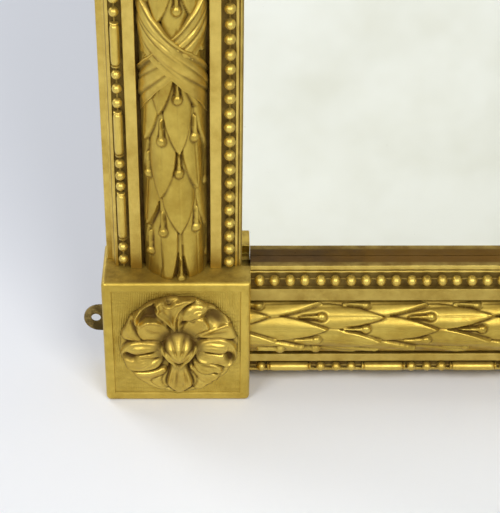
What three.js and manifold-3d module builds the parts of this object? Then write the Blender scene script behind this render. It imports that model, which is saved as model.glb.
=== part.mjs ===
// A giltwood trumeau: a tall wall mirror with a carved panel above the glass.
// Two stiles and three rails of one moulding meet four square corner blocks.
// Each moulding carries a half-round roll of laurel, a string of pearls at the
// sight edge and a bead-and-reel string outside. Crossed ribbons bind the rolls.
// Millimetres. X runs across, +Y runs into the wall, +Z is up.
// The origin is under the middle of the frame, on the line its blocks stand on.
import * as THREE from "three";
import { mergeVertices } from "three/addons/utils/BufferGeometryUtils.js";
import Module from "manifold-3d";

// ---- Driving sizes ----
const FRAME_WIDTH = 1100; // over the corner blocks
const FRAME_HEIGHT = 1780; // over the corner blocks
const UPPER_SIGHT = 335; // height of the panel that shows above the transom
const GLUE_GAP = 0.3; // between pieces that are glued or butted

// Corner blocks
const BLOCK_SIDE = 137;
const BLOCK_DEPTH = 66;
const PANEL_BORDER = 9; // plain border round the sunk square
const PANEL_SINK = 1.2;

// Rosettes on the blocks
const ROSETTE_RADIUS = 56.5;
const ROSETTE_RISE = 13.2; // from the sunk panel to the bud
const ROSETTE_RIM = 4.2; // thickness at the petal tips
const ROSETTE_PETALS = 7;
const BUD_RADIUS = 15;

// Mouldings, front to back: depths are measured back from the blocks' front
const BAND_DEPTH = 41;
const COVE_DEPTH = 35.6;
const LIST_DEPTH = 29.5;
const CHANNEL_DEPTH = 30.2;
const FILLET_DEPTH = 25;
const ROLL_CREST = 6.7;
const ROLL_RADIUS = 27.5;
const LIP_DEPTH = 46; // back of the lip that holds the glass

// Widths across the stile, from the centre line of its roll
const STILE = {
  rollGap: 4,
  outerFillet: 10.5,
  reelChannel: 11.2,
  outerList: 3,
  cove: 2.9,
  band: 5.9,
  sightFillet: 10.3,
  pearlChannel: 12.2,
  sightList: 6.7,
  pearlPlace: 7.2, // from the fillet to the middle of the pearls
  reelPlace: 6.2, // from the fillet to the middle of the bead-and-reel
};

// The rails are the same moulding with a wider sight edge
const RAIL = {
  rollGap: 4,
  outerFillet: 8.8,
  reelChannel: 11.2,
  outerList: 3,
  cove: 2.9,
  band: 6.5,
  sightFillet: 13,
  pearlChannel: 16.3,
  sightList: 7.6,
  pearlPlace: 10.5,
  reelPlace: 6.2,
};

// Laurel
const LEAF_COLUMNS = 6; // round the half roll
const LEAF_TIER = 41; // from one row of tips to the next
const LEAF_RISE = 2.6; // of a tip over the leaf below it

// Crossed ribbons
const RIBBON_WIDTH = 29;
const RIBBON_THICKNESS = 2.4;
const RIBBON_STEPS = 12;
const STILE_TIES = 3;
const FIRST_TIE = 362; // from the foot of the blocks to the first crossing

// Strings of ornament
const PEARL_WIDTH = 8.8;
const PEARL_RISE = 6; // the pearls are taller than they are wide
const REEL_WIDTH = 8.8;
const REEL_RISE = 4.4;
const STRING_FACETS = 6;

// Glass, boards and the rebate that holds them
const REBATE = 8.5; // how far the lip covers the glass
const GLASS_THICKNESS = 4;
const GLASS_PLAY = 2.5; // round the glass in its rebate
const BACKBOARD_THICKNESS = 8;
const BOARD_PLAY = 1;
const GLAZING_BLOCK = 60; // length of the wooden wedges behind the glass
const GLAZING_BLOCK_DEPTH = 5.5;
const PANEL_THICKNESS = 10;

// Relief on the upper panel
const PATERA_RADIUS = 78;
const PATERA_RISE = 17;
const SWAG_GAP = 12; // from the patera to the swag's nearer end
const SWAG_SPAN = 268;
const SWAG_DROP = 104;
const SWAG_THICKNESS = 18; // radius in the middle of the swag
const SWAG_END = 8; // radius at its two ends
const BOSS_RADIUS = 17; // the boss that a swag hangs from
const BOSS_RISE = 12;
const DROP_LENGTH = 150; // the chain of husks below the boss
const DROP_RADIUS = 11;
const BOW_WIDTH = 150;
const BOW_BAND = 17;
const BOW_THICKNESS = 7;

// Wall plates and their screws
const PLATE_HEIGHT = 30;
const PLATE_REACH = 23.5; // beyond the side of the block
const PLATE_HELD = 46; // let into the back of the block
const PLATE_THICKNESS = 2;
const PLATE_CENTRE = 52; // above the foot of a lower block
const PLATE_HOLE = 9.4;
const PLATE_HOLE_IN = 11.8; // from the side of the block to the hole
const SCREW_DIAMETER = 4;
const SCREW_HEAD = 8;
const SCREW_HEAD_DEPTH = 1.8;
const SCREW_LENGTH = 18;
const SCREW_PLAY = 0.3;
const SCREW_SIDES = 8;

// ---- Places that follow from the sizes ----
const BACK = (BLOCK_DEPTH + ROSETTE_RISE - PANEL_SINK) / 2; // wall plane
const FRONT = BACK - BLOCK_DEPTH; // front of the blocks
const HALF = FRAME_WIDTH / 2;
const ROLL_LINE = BLOCK_SIDE / 2; // roll centre line, in from the blocks' sides
const SEAT_DEPTH = ROLL_CREST + ROLL_RADIUS; // flat that the roll is glued on
const GROUND_DEPTH = SEAT_DEPTH + GLUE_GAP;
const filletEnd = (m, side) => ROLL_RADIUS + m.rollGap + m[side];
const outerEdge = (m) =>
  filletEnd(m, "outerFillet") + m.reelChannel + m.outerList + m.cove + m.band;
const sightEdge = (m) =>
  filletEnd(m, "sightFillet") + m.pearlChannel + m.sightList;
const STILE_SIGHT = ROLL_LINE + sightEdge(STILE); // in from the block's side
const RAIL_SIGHT = ROLL_LINE + sightEdge(RAIL);
const TRANSOM_HALF = sightEdge(RAIL);
const TRANSOM_CENTRE = FRAME_HEIGHT - RAIL_SIGHT - UPPER_SIGHT - TRANSOM_HALF;

const wasm = await Module();
wasm.setup();

// ---- Finishes ----
const finish = (color, roughness, metalness) =>
  new THREE.MeshStandardMaterial({ color, roughness, metalness });
const GILT = finish(0xc9a94f, 0.38, 0.85);
const GILT_CARVING = finish(0xb2953f, 0.34, 0.85);
const MIRROR = finish(0xe9ebdf, 0.05, 1);
const PINE = finish(0x9a7a52, 0.8, 0);
const PLATE_BRASS = finish(0x77674b, 0.45, 0.8);
const STEEL = finish(0x7a7872, 0.4, 0.9);

const trumeau = new THREE.Group();

function piece(name, geometry, material, place = {}) {
  const mesh = new THREE.Mesh(geometry, material);
  mesh.name = name;
  mesh.position.set(...(place.at ?? [0, 0, 0]));
  mesh.rotation.set(...(place.turn ?? [0, 0, 0]));
  trumeau.add(mesh);
  return mesh;
}

// ---- Joining and cutting ----
function solidOf(geometry) {
  const bare = geometry.clone();
  bare.deleteAttribute("normal");
  bare.deleteAttribute("uv");
  const merged = mergeVertices(bare, 1e-4);
  return new wasm.Manifold(
    new wasm.Mesh({
      numProp: 3,
      vertProperties: merged.attributes.position.array,
      triVerts: new Uint32Array(merged.index.array),
    }),
  );
}

function geometryOf(solid) {
  const mesh = solid.getMesh();
  const geometry = new THREE.BufferGeometry();
  geometry.setAttribute("position", new THREE.BufferAttribute(mesh.vertProperties, 3));
  geometry.setIndex(new THREE.BufferAttribute(mesh.triVerts, 1));
  geometry.computeVertexNormals();
  return geometry;
}

const cut = (body, ...tools) =>
  geometryOf(tools.reduce((left, tool) => left.subtract(solidOf(tool)), solidOf(body)));
const join = (body, ...others) =>
  geometryOf(others.reduce((left, other) => left.add(solidOf(other)), solidOf(body)));

// A box given by its lowest and highest corners.
function boxBetween(low, high) {
  const size = high.map((value, i) => value - low[i]);
  const centre = high.map((value, i) => (value + low[i]) / 2);
  return new THREE.BoxGeometry(...size).translate(...centre);
}

// A closed solid through rings of points; every ring is flat and star-shaped.
function loft(rings) {
  const count = rings[0].length;
  const points = rings.flat();
  const faces = [];
  for (let i = 0; i + 1 < rings.length; i++) {
    for (let k = 0; k < count; k++) {
      const a = i * count + k;
      const b = i * count + ((k + 1) % count);
      faces.push(a, b, b + count, a, b + count, a + count);
    }
  }
  for (const [ring, start, flip] of [
    [rings[0], 0, true],
    [rings.at(-1), points.length - count, false],
  ]) {
    const centre = points.length;
    points.push(ring.reduce((sum, p) => sum.add(p), new THREE.Vector3()).divideScalar(count));
    for (let k = 0; k < count; k++) {
      const pair = [start + k, start + ((k + 1) % count)];
      faces.push(...(flip ? pair.reverse() : pair), centre);
    }
  }
  const geometry = new THREE.BufferGeometry().setFromPoints(points);
  geometry.setIndex(faces);
  if (solidOf(geometry).volume() < 0) {
    for (let i = 0; i < faces.length; i += 3) {
      [faces[i + 1], faces[i + 2]] = [faces[i + 2], faces[i + 1]];
    }
    geometry.setIndex(faces);
  }
  geometry.computeVertexNormals();
  return geometry;
}

// ---- The mouldings ----
// One side of a section, from the roll's gap outwards: [across, depth] points.
function outerSide(m) {
  const fillet = ROLL_RADIUS + m.rollGap;
  const channel = filletEnd(m, "outerFillet");
  const list = channel + m.reelChannel;
  const cove = list + m.outerList;
  const band = cove + m.cove;
  return [
    [fillet, GROUND_DEPTH],
    [fillet, FILLET_DEPTH],
    [channel, FILLET_DEPTH],
    [channel, CHANNEL_DEPTH],
    [list, CHANNEL_DEPTH],
    [list, LIST_DEPTH],
    [cove, LIST_DEPTH],
    [cove, COVE_DEPTH],
    [band, COVE_DEPTH],
    [band, BAND_DEPTH],
    [outerEdge(m), BAND_DEPTH],
    [outerEdge(m), BLOCK_DEPTH],
  ];
}

function sightSide(m) {
  const fillet = ROLL_RADIUS + m.rollGap;
  const channel = filletEnd(m, "sightFillet");
  const list = channel + m.pearlChannel;
  const edge = sightEdge(m);
  return [
    [fillet, GROUND_DEPTH],
    [fillet, FILLET_DEPTH],
    [channel, FILLET_DEPTH],
    [channel, CHANNEL_DEPTH],
    [list, CHANNEL_DEPTH],
    [list, LIST_DEPTH],
    [edge, LIST_DEPTH],
    [edge, LIP_DEPTH],
    [edge - REBATE, LIP_DEPTH],
    [edge - REBATE, BLOCK_DEPTH],
  ];
}

// The section between two sides, laid out across X with its depth in Y.
function sectionShape(left, right) {
  const mirrored = left.map(([across, depth]) => [-across, depth]).reverse();
  return new THREE.Shape([...mirrored, ...right].map(([x, y]) => new THREE.Vector2(x, y)));
}

const extrude = (shape, length) =>
  new THREE.ExtrudeGeometry(shape, { depth: length, bevelEnabled: false, curveSegments: 6 });

const STILE_LENGTH = FRAME_HEIGHT - 2 * (BLOCK_SIDE + GLUE_GAP);
const RAIL_LENGTH = FRAME_WIDTH - 2 * (BLOCK_SIDE + GLUE_GAP);
const TRANSOM_LENGTH = FRAME_WIDTH - 2 * (STILE_SIGHT + GLUE_GAP);
const SIDES = [
  { name: "left", sign: -1 },
  { name: "right", sign: 1 },
];

for (const { name, sign } of SIDES) {
  const toSight = sightSide(STILE);
  const toEdge = outerSide(STILE);
  const shape = sign < 0 ? sectionShape(toEdge, toSight) : sectionShape(toSight, toEdge);
  piece(`stile_${name}`, extrude(shape, STILE_LENGTH), GILT, {
    at: [sign * (HALF - ROLL_LINE), FRONT, BLOCK_SIDE + GLUE_GAP],
  });
}

// A rail is drawn upright and turned to lie along X, its left side downwards.
const LYING = [0, -Math.PI / 2, 0];
const RAILS = [
  {
    name: "bottom_rail",
    lower: outerSide(RAIL),
    upper: sightSide(RAIL),
    z: ROLL_LINE,
    length: RAIL_LENGTH,
  },
  {
    name: "transom",
    lower: sightSide(RAIL),
    upper: sightSide(RAIL),
    z: TRANSOM_CENTRE,
    length: TRANSOM_LENGTH,
  },
  {
    name: "top_rail",
    lower: sightSide(RAIL),
    upper: outerSide(RAIL),
    z: FRAME_HEIGHT - ROLL_LINE,
    length: RAIL_LENGTH,
  },
];
for (const rail of RAILS) {
  piece(rail.name, extrude(sectionShape(rail.lower, rail.upper), rail.length), GILT, {
    at: [rail.length / 2, FRONT, rail.z],
    turn: LYING,
  });
}

// ---- Corner blocks with a sunk panel, the glass notch and the plate's recess ----
const BLOCKS = [
  { name: "bottom_left", side: -1, up: 1 },
  { name: "bottom_right", side: 1, up: 1 },
  { name: "top_left", side: -1, up: -1 },
  { name: "top_right", side: 1, up: -1 },
];
const OVERCUT = 1; // how far a cutting tool runs past the face it opens

// A box placed from a block's outer corner: in from its side, up from its foot, back from its front.
function blockBox({ side, up }, inward, upward, depth) {
  const x = inward.map((v) => side * (HALF - v));
  const z = upward.map((v) => (up > 0 ? v : FRAME_HEIGHT - v));
  return boxBetween(
    [Math.min(...x), FRONT + depth[0], Math.min(...z)],
    [Math.max(...x), FRONT + depth[1], Math.max(...z)],
  );
}

const screwLine = (block, inward) => ({
  x: block.side * (HALF - inward),
  z: block.up > 0 ? PLATE_CENTRE : FRAME_HEIGHT - PLATE_CENTRE,
});
const SCREW_PLACES = [PLATE_HELD * 0.3, PLATE_HELD * 0.76]; // in from the block's side
const PLATE_BACK = BACK - GLUE_GAP;
const PLATE_FRONT = PLATE_BACK - PLATE_THICKNESS;

// Along +Y a round bar of the given radius, from y0 to y1.
function barAlongY(radius, y0, y1, x, z) {
  return new THREE.CylinderGeometry(radius, radius, y1 - y0, SCREW_SIDES)
    .translate(0, (y0 + y1) / 2, 0)
    .translate(x, 0, z);
}

for (const block of BLOCKS) {
  const whole = blockBox(block, [0, BLOCK_SIDE], [0, BLOCK_SIDE], [0, BLOCK_DEPTH]);
  const panel = [PANEL_BORDER, BLOCK_SIDE - PANEL_BORDER];
  const sunk = blockBox(block, panel, panel, [-OVERCUT, PANEL_SINK]);
  const past = BLOCK_SIDE + OVERCUT;
  const glassNotch = blockBox(
    block,
    [STILE_SIGHT - REBATE, past],
    [RAIL_SIGHT - REBATE, past],
    [LIP_DEPTH, BLOCK_DEPTH + OVERCUT],
  );
  const sightNotch = blockBox(
    block,
    [STILE_SIGHT, past],
    [RAIL_SIGHT - REBATE, past],
    [LIST_DEPTH, LIP_DEPTH + OVERCUT],
  );
  const halfPlate = PLATE_HEIGHT / 2 + GLUE_GAP;
  const plateRecess = blockBox(
    block,
    [-OVERCUT, PLATE_HELD + GLUE_GAP],
    [PLATE_CENTRE - halfPlate, PLATE_CENTRE + halfPlate],
    [BLOCK_DEPTH - PLATE_THICKNESS - 2 * GLUE_GAP, BLOCK_DEPTH + OVERCUT],
  );
  const pilots = SCREW_PLACES.map((inward) => {
    const { x, z } = screwLine(block, inward);
    const deepest = PLATE_BACK - SCREW_LENGTH - OVERCUT;
    return barAlongY(SCREW_DIAMETER / 2 + SCREW_PLAY, deepest, BACK, x, z);
  });
  piece(
    `corner_block_${block.name}`,
    cut(whole, sunk, glassNotch, sightNotch, plateRecess, ...pilots),
    GILT,
  );
}

// ---- Rosettes: curled petals round a bud ----
const ROSETTE_RINGS = [0.3, 0.45, 0.62, 0.8, 0.93, 1]; // share of the radius
const PETAL_STEPS = 4; // points round one petal

// Height of the carving at a share of the radius, for a place round the flower.
function petalHeight(share, turn, rise) {
  const lobe = Math.cos(ROSETTE_PETALS * turn);
  const crown = Math.sin(Math.PI * Math.min(1, share + 0.12));
  return ROSETTE_RIM + (rise - ROSETTE_RIM) * crown * (0.55 + 0.3 * lobe);
}

function rosette(radius, rise, budRadius) {
  const around = ROSETTE_PETALS * PETAL_STEPS;
  const ringAt = (share, height) =>
    Array.from({ length: around }, (_, k) => {
      const turn = (2 * Math.PI * k) / around;
      const scallop = share > 0.85 ? 0.96 + 0.04 * Math.cos(ROSETTE_PETALS * turn) : 1;
      const r = radius * share * scallop;
      return new THREE.Vector3(r * Math.cos(turn), -height(turn), r * Math.sin(turn));
    });
  const rings = [ringAt(1, () => 0)];
  for (const share of [...ROSETTE_RINGS].reverse()) {
    rings.push(ringAt(share, (turn) => (share === 1 ? ROSETTE_RIM : petalHeight(share, turn, rise))));
  }
  const budFoot = budRadius / radius;
  rings.push(ringAt(budFoot, () => rise * 0.72));
  rings.push(ringAt(budFoot * 0.7, () => rise * 0.95));
  rings.push(ringAt(budFoot * 0.3, () => rise));
  return loft(rings);
}

const BLOCK_ROSETTE = rosette(ROSETTE_RADIUS, ROSETTE_RISE - GLUE_GAP, BUD_RADIUS);
for (const block of BLOCKS) {
  piece(`rosette_${block.name}`, BLOCK_ROSETTE, GILT_CARVING, {
    at: [
      block.side * (HALF - BLOCK_SIDE / 2),
      FRONT + PANEL_SINK - GLUE_GAP,
      block.up > 0 ? BLOCK_SIDE / 2 : FRAME_HEIGHT - BLOCK_SIDE / 2,
    ],
  });
}

// ---- Laurel rolls ----
// Half round, drawn along +Z with its flat on Y = 0 and its crest at -Y.
// Neighbouring columns of leaves are half a tier out of step.
function laurelRoll(length) {
  const tiers = Math.max(2, Math.round((2 * length) / LEAF_TIER));
  const rings = [];
  for (let i = 0; i <= tiers; i++) {
    const ring = [];
    for (let k = 0; k <= LEAF_COLUMNS; k++) {
      const turn = Math.PI * (k / LEAF_COLUMNS);
      const low = k > 0 && k < LEAF_COLUMNS && (i + k) % 2 === 0;
      const r = ROLL_RADIUS - (low ? LEAF_RISE : 0);
      ring.push(new THREE.Vector3(-r * Math.cos(turn), -r * Math.sin(turn), (length * i) / tiers));
    }
    rings.push(ring);
  }
  return loft(rings);
}

const ROLL_SEAT = FRONT + SEAT_DEPTH;
for (const { name, sign } of SIDES) {
  piece(`laurel_roll_${name}`, laurelRoll(STILE_LENGTH), GILT_CARVING, {
    at: [sign * (HALF - ROLL_LINE), ROLL_SEAT, BLOCK_SIDE + GLUE_GAP],
  });
}
for (const rail of RAILS) {
  const name = rail.name.replace("_rail", "");
  piece(`laurel_roll_${name}`, laurelRoll(rail.length), GILT_CARVING, {
    at: [rail.length / 2, ROLL_SEAT, rail.z],
    turn: LYING,
  });
}

// ---- Crossed ribbons over the rolls ----
// One band climbs round the roll at 45 degrees; lean is its direction.
function ribbonBand(lean) {
  const inside = ROLL_RADIUS + GLUE_GAP;
  const outside = inside + RIBBON_THICKNESS;
  const halfRise = RIBBON_WIDTH / Math.SQRT2;
  const reach = Math.PI / 2 - 0.04; // stops just short of the roll's flat
  const rings = [];
  for (let i = 0; i <= RIBBON_STEPS; i++) {
    const turn = -reach + (2 * reach * i) / RIBBON_STEPS;
    const z = lean * ROLL_RADIUS * turn;
    const at = (r, dz) =>
      new THREE.Vector3(r * Math.sin(turn), -r * Math.cos(turn), z + dz);
    rings.push([
      at(inside, -halfRise),
      at(outside, -halfRise),
      at(outside, halfRise),
      at(inside, halfRise),
    ]);
  }
  return loft(rings);
}

const TIE = join(ribbonBand(1), ribbonBand(-1));
for (const { name, sign } of SIDES) {
  for (let i = 0; i < STILE_TIES; i++) {
    const share = STILE_TIES > 1 ? i / (STILE_TIES - 1) : 0.5;
    piece(`ribbon_tie_${name}_${i + 1}`, TIE, GILT_CARVING, {
      at: [
        sign * (HALF - ROLL_LINE),
        ROLL_SEAT,
        FIRST_TIE + share * (FRAME_HEIGHT - 2 * FIRST_TIE),
      ],
    });
  }
}
for (const rail of RAILS) {
  piece(`ribbon_tie_${rail.name.replace("_rail", "")}`, TIE, GILT_CARVING, {
    at: [0, ROLL_SEAT, rail.z],
    turn: LYING,
  });
}

// ---- Pearls and bead-and-reel ----
// A string is a bar of its own width and rise, flat where it is glued in its channel.
function stringBar({ width, rise }, length) {
  const r = width / 2;
  const seat = CHANNEL_DEPTH - GLUE_GAP - FILLET_DEPTH; // the bar's middle lies level with the fillets
  const outline = [[-r * 0.8, seat]];
  for (let k = 0; k <= STRING_FACETS; k++) {
    const turn = Math.PI * (k / STRING_FACETS);
    outline.push([-r * Math.cos(turn), -rise * Math.sin(turn)]);
  }
  outline.push([r * 0.8, seat]);
  return extrude(new THREE.Shape(outline.map(([x, y]) => new THREE.Vector2(x, y))), length);
}

const pearlLine = (m) => filletEnd(m, "sightFillet") + m.pearlPlace;
const reelLine = (m) => filletEnd(m, "outerFillet") + m.reelPlace;
const STRING_Y = FRONT + FILLET_DEPTH;
const PEARLS = { width: PEARL_WIDTH, rise: PEARL_RISE };
const BEAD_AND_REEL = { width: REEL_WIDTH, rise: REEL_RISE };

for (const { name, sign } of SIDES) {
  const inward = (across) => sign * (HALF - ROLL_LINE - across);
  piece(`pearls_${name}`, stringBar(PEARLS, STILE_LENGTH), GILT_CARVING, {
    at: [inward(pearlLine(STILE)), STRING_Y, BLOCK_SIDE + GLUE_GAP],
  });
  piece(`bead_and_reel_${name}`, stringBar(BEAD_AND_REEL, STILE_LENGTH), GILT_CARVING, {
    at: [inward(-reelLine(STILE)), STRING_Y, BLOCK_SIDE + GLUE_GAP],
  });
}

const LYING_STRINGS = [
  { name: "pearls_bottom", rail: RAILS[0], across: pearlLine(RAIL), make: PEARLS },
  { name: "pearls_transom_lower", rail: RAILS[1], across: -pearlLine(RAIL), make: PEARLS },
  { name: "pearls_transom_upper", rail: RAILS[1], across: pearlLine(RAIL), make: PEARLS },
  { name: "pearls_top", rail: RAILS[2], across: -pearlLine(RAIL), make: PEARLS },
  { name: "bead_and_reel_bottom", rail: RAILS[0], across: -reelLine(RAIL), make: BEAD_AND_REEL },
  { name: "bead_and_reel_top", rail: RAILS[2], across: reelLine(RAIL), make: BEAD_AND_REEL },
];
for (const string of LYING_STRINGS) {
  piece(string.name, stringBar(string.make, string.rail.length), GILT_CARVING, {
    at: [string.rail.length / 2, STRING_Y, string.rail.z + string.across],
    turn: LYING,
  });
}

// ---- Mirror glass, its backboard and the glazing wedges ----
const REBATE_HALF = HALF - (STILE_SIGHT - REBATE); // from the middle to the rebate's wall
const GLASS_FRONT = FRONT + LIP_DEPTH + GLUE_GAP;
const GLASS_BACK = GLASS_FRONT + GLASS_THICKNESS;
const MIRROR_FOOT = RAIL_SIGHT - REBATE;
const MIRROR_HEAD = TRANSOM_CENTRE - (TRANSOM_HALF - REBATE);

function plateInRebate(play, foot, head, y0, y1) {
  return boxBetween(
    [-(REBATE_HALF - play), y0, foot + play],
    [REBATE_HALF - play, y1, head - play],
  );
}

piece("mirror_glass", plateInRebate(GLASS_PLAY, MIRROR_FOOT, MIRROR_HEAD, GLASS_FRONT, GLASS_BACK), MIRROR);

const WEDGE_FRONT = GLASS_BACK + GLUE_GAP;
const WEDGE_BACK = WEDGE_FRONT + GLAZING_BLOCK_DEPTH;
const WEDGE_WIDTH = REBATE - GLUE_GAP;
for (const { name, sign } of SIDES) {
  for (const [place, share] of [["lower", 0.25], ["upper", 0.75]]) {
    const wall = sign * (REBATE_HALF - GLUE_GAP);
    const outline = [
      [0, 0],
      [-sign * WEDGE_WIDTH, 0],
      [-sign * WEDGE_WIDTH * 0.5, GLAZING_BLOCK_DEPTH],
      [0, GLAZING_BLOCK_DEPTH],
    ];
    const shape = new THREE.Shape(outline.map(([x, y]) => new THREE.Vector2(x, y)));
    piece(`glazing_block_${name}_${place}`, extrude(shape, GLAZING_BLOCK), PINE, {
      at: [wall, WEDGE_FRONT, MIRROR_FOOT + share * (MIRROR_HEAD - MIRROR_FOOT) - GLAZING_BLOCK / 2],
    });
  }
}

const BOARD_FRONT = WEDGE_BACK + GLUE_GAP;
piece(
  "mirror_backboard",
  plateInRebate(BOARD_PLAY, MIRROR_FOOT, MIRROR_HEAD, BOARD_FRONT, BOARD_FRONT + BACKBOARD_THICKNESS),
  PINE,
);

// ---- The upper panel and its relief ----
const PANEL_FOOT = TRANSOM_CENTRE + TRANSOM_HALF - REBATE;
const PANEL_HEAD = FRAME_HEIGHT - RAIL_SIGHT + REBATE;
const PANEL_FRONT = FRONT + LIP_DEPTH + GLUE_GAP;
const PANEL_MIDDLE = (PANEL_FOOT + PANEL_HEAD) / 2;
const RELIEF_SEAT = PANEL_FRONT - GLUE_GAP;

piece(
  "panel_board",
  plateInRebate(GLUE_GAP, PANEL_FOOT, PANEL_HEAD, PANEL_FRONT, PANEL_FRONT + PANEL_THICKNESS),
  GILT,
);
piece("panel_patera", rosette(PATERA_RADIUS, PATERA_RISE, BUD_RADIUS * 1.4), GILT_CARVING, {
  at: [0, RELIEF_SEAT, PANEL_MIDDLE],
});

// A swag hangs in a curve from the patera out to a boss, thick in the middle.
const SWAG_STEPS = 14;
const SWAG_SIDES = 6;
function swag(sign) {
  const start = sign * (PATERA_RADIUS + SWAG_GAP);
  const rings = [];
  for (let i = 0; i <= SWAG_STEPS; i++) {
    const share = i / SWAG_STEPS;
    const swell = Math.sin(Math.PI * share);
    const r = SWAG_END + (SWAG_THICKNESS - SWAG_END) * swell;
    const slope = SWAG_DROP * Math.PI * Math.cos(Math.PI * share) / SWAG_SPAN;
    const normal = new THREE.Vector2(slope, 1).normalize();
    const centre = [start + sign * SWAG_SPAN * share, SWAG_DROP * (0.5 - swell)];
    const ring = [];
    for (let k = 0; k <= SWAG_SIDES; k++) {
      const turn = Math.PI * (k / SWAG_SIDES);
      const out = r * Math.cos(turn);
      ring.push(
        new THREE.Vector3(
          centre[0] + sign * out * normal.x,
          -r * Math.sin(turn),
          centre[1] + out * normal.y,
        ),
      );
    }
    rings.push(ring);
  }
  return loft(rings);
}

const BOSS_SIDES = 12;
// The boss at the swag's outer end, a flattened dome.
function boss(x, z) {
  const profile = [[0, 0], [1, 0], [1, 0.35], [0.72, 0.8], [0.3, 1], [0, 1]];
  const points = profile.map(([r, h]) => new THREE.Vector2(r * BOSS_RADIUS, h * BOSS_RISE));
  return new THREE.LatheGeometry(points, BOSS_SIDES).rotateX(Math.PI).translate(x, 0, z);
}

// Half-round husks that hang from the boss, each narrower than the one above.
function huskDrop(x, top) {
  const husks = [1, 0.86, 0.72, 0.58];
  const rings = [];
  husks.forEach((size, i) => {
    for (const [down, width] of [[0.04, 0.35], [0.3, 1], [0.94, 0.45]]) {
      const z = top - ((i + down) / husks.length) * DROP_LENGTH;
      const r = DROP_RADIUS * size * width;
      rings.push(
        Array.from({ length: SWAG_SIDES + 1 }, (_, k) => {
          const turn = Math.PI * (k / SWAG_SIDES);
          return new THREE.Vector3(x + r * Math.cos(turn), -r * Math.sin(turn), z);
        }),
      );
    }
  });
  return loft(rings);
}

for (const { name, sign } of SIDES) {
  const x = sign * (PATERA_RADIUS + SWAG_GAP + SWAG_SPAN);
  const z = SWAG_DROP / 2;
  piece(
    `panel_swag_${name}`,
    join(swag(sign), boss(x, z), huskDrop(x, z)),
    GILT_CARVING,
    { at: [0, RELIEF_SEAT, PANEL_MIDDLE] },
  );
}

// The bow over the patera: two loops and a knot.
const BOW_CURVE_STEPS = 7;
function bowLoop(sign) {
  const loop = new THREE.Shape();
  const half = BOW_WIDTH / 2;
  const rise = BOW_BAND * 1.5;
  loop.moveTo(0, -BOW_BAND * 0.35);
  loop.bezierCurveTo(sign * half * 0.5, -rise, sign * half, -rise * 0.5, sign * half, rise * 0.3);
  loop.bezierCurveTo(sign * half, rise * 1.3, sign * half * 0.4, rise * 1.1, 0, BOW_BAND * 0.35);
  return new THREE.ExtrudeGeometry(loop, {
    depth: BOW_THICKNESS,
    bevelEnabled: false,
    curveSegments: BOW_CURVE_STEPS,
  }).rotateX(Math.PI / 2);
}
const knot = boxBetween(
  [-BOW_BAND * 0.5, -BOW_THICKNESS * 1.4, -BOW_BAND * 0.6],
  [BOW_BAND * 0.5, 0, BOW_BAND * 0.6],
);
piece("panel_bow", join(bowLoop(-1), bowLoop(1), knot), GILT_CARVING, {
  at: [0, RELIEF_SEAT, PANEL_MIDDLE + PATERA_RADIUS + BOW_BAND * 1.9],
});

// ---- Wall plates, let into the backs of the blocks, and their screws ----
function plateOutline() {
  const r = PLATE_HEIGHT / 2;
  const outline = new THREE.Shape();
  outline.moveTo(-PLATE_HELD, -r);
  outline.lineTo(PLATE_REACH - r, -r);
  outline.absarc(PLATE_REACH - r, 0, r, -Math.PI / 2, Math.PI / 2, false);
  outline.lineTo(-PLATE_HELD, r);
  const hole = new THREE.Path();
  hole.absarc(PLATE_HOLE_IN, 0, PLATE_HOLE / 2, 0, 2 * Math.PI, true);
  outline.holes.push(hole);
  return outline;
}

function screwHead(radius, x, z) {
  // A countersunk cone from the plate's back face inwards.
  return new THREE.CylinderGeometry(radius, SCREW_DIAMETER / 2, SCREW_HEAD_DEPTH, SCREW_SIDES)
    .translate(x, PLATE_BACK - SCREW_HEAD_DEPTH / 2, z);
}

for (const block of BLOCKS) {
  // The outline is drawn for the right side, seen from the front, and turned round for the left.
  const turned = block.side > 0 ? 0 : Math.PI;
  const plate = new THREE.ExtrudeGeometry(plateOutline(), {
    depth: PLATE_THICKNESS,
    bevelEnabled: false,
    curveSegments: 7,
  })
    .rotateX(Math.PI / 2)
    .translate(0, PLATE_THICKNESS / 2, 0)
    .rotateZ(turned)
    .translate(block.side * HALF, (PLATE_FRONT + PLATE_BACK) / 2, screwLine(block, 0).z);
  const sinks = SCREW_PLACES.flatMap((inward) => {
    const { x, z } = screwLine(block, inward);
    const wide = new THREE.CylinderGeometry(
      SCREW_HEAD / 2 + SCREW_PLAY + OVERCUT,
      SCREW_DIAMETER / 2 + SCREW_PLAY,
      SCREW_HEAD_DEPTH + OVERCUT,
      SCREW_SIDES,
    ).translate(x, PLATE_BACK - SCREW_HEAD_DEPTH + (SCREW_HEAD_DEPTH + OVERCUT) / 2, z);
    return [wide, barAlongY(SCREW_DIAMETER / 2 + SCREW_PLAY, PLATE_FRONT - OVERCUT, PLATE_BACK, x, z)];
  });
  piece(`wall_plate_${block.name}`, cut(plate, ...sinks), PLATE_BRASS);
  SCREW_PLACES.forEach((inward, i) => {
    const { x, z } = screwLine(block, inward);
    const shankTop = PLATE_BACK - SCREW_HEAD_DEPTH / 2;
    const shank = barAlongY(SCREW_DIAMETER / 2, PLATE_BACK - SCREW_LENGTH, shankTop, x, z);
    piece(`plate_screw_${block.name}_${i + 1}`, join(shank, screwHead(SCREW_HEAD / 2, x, z)), STEEL);
  });
}

export default trumeau;
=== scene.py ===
import math

import bmesh
import bpy
import numpy as np
from mathutils import Matrix, Vector


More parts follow.
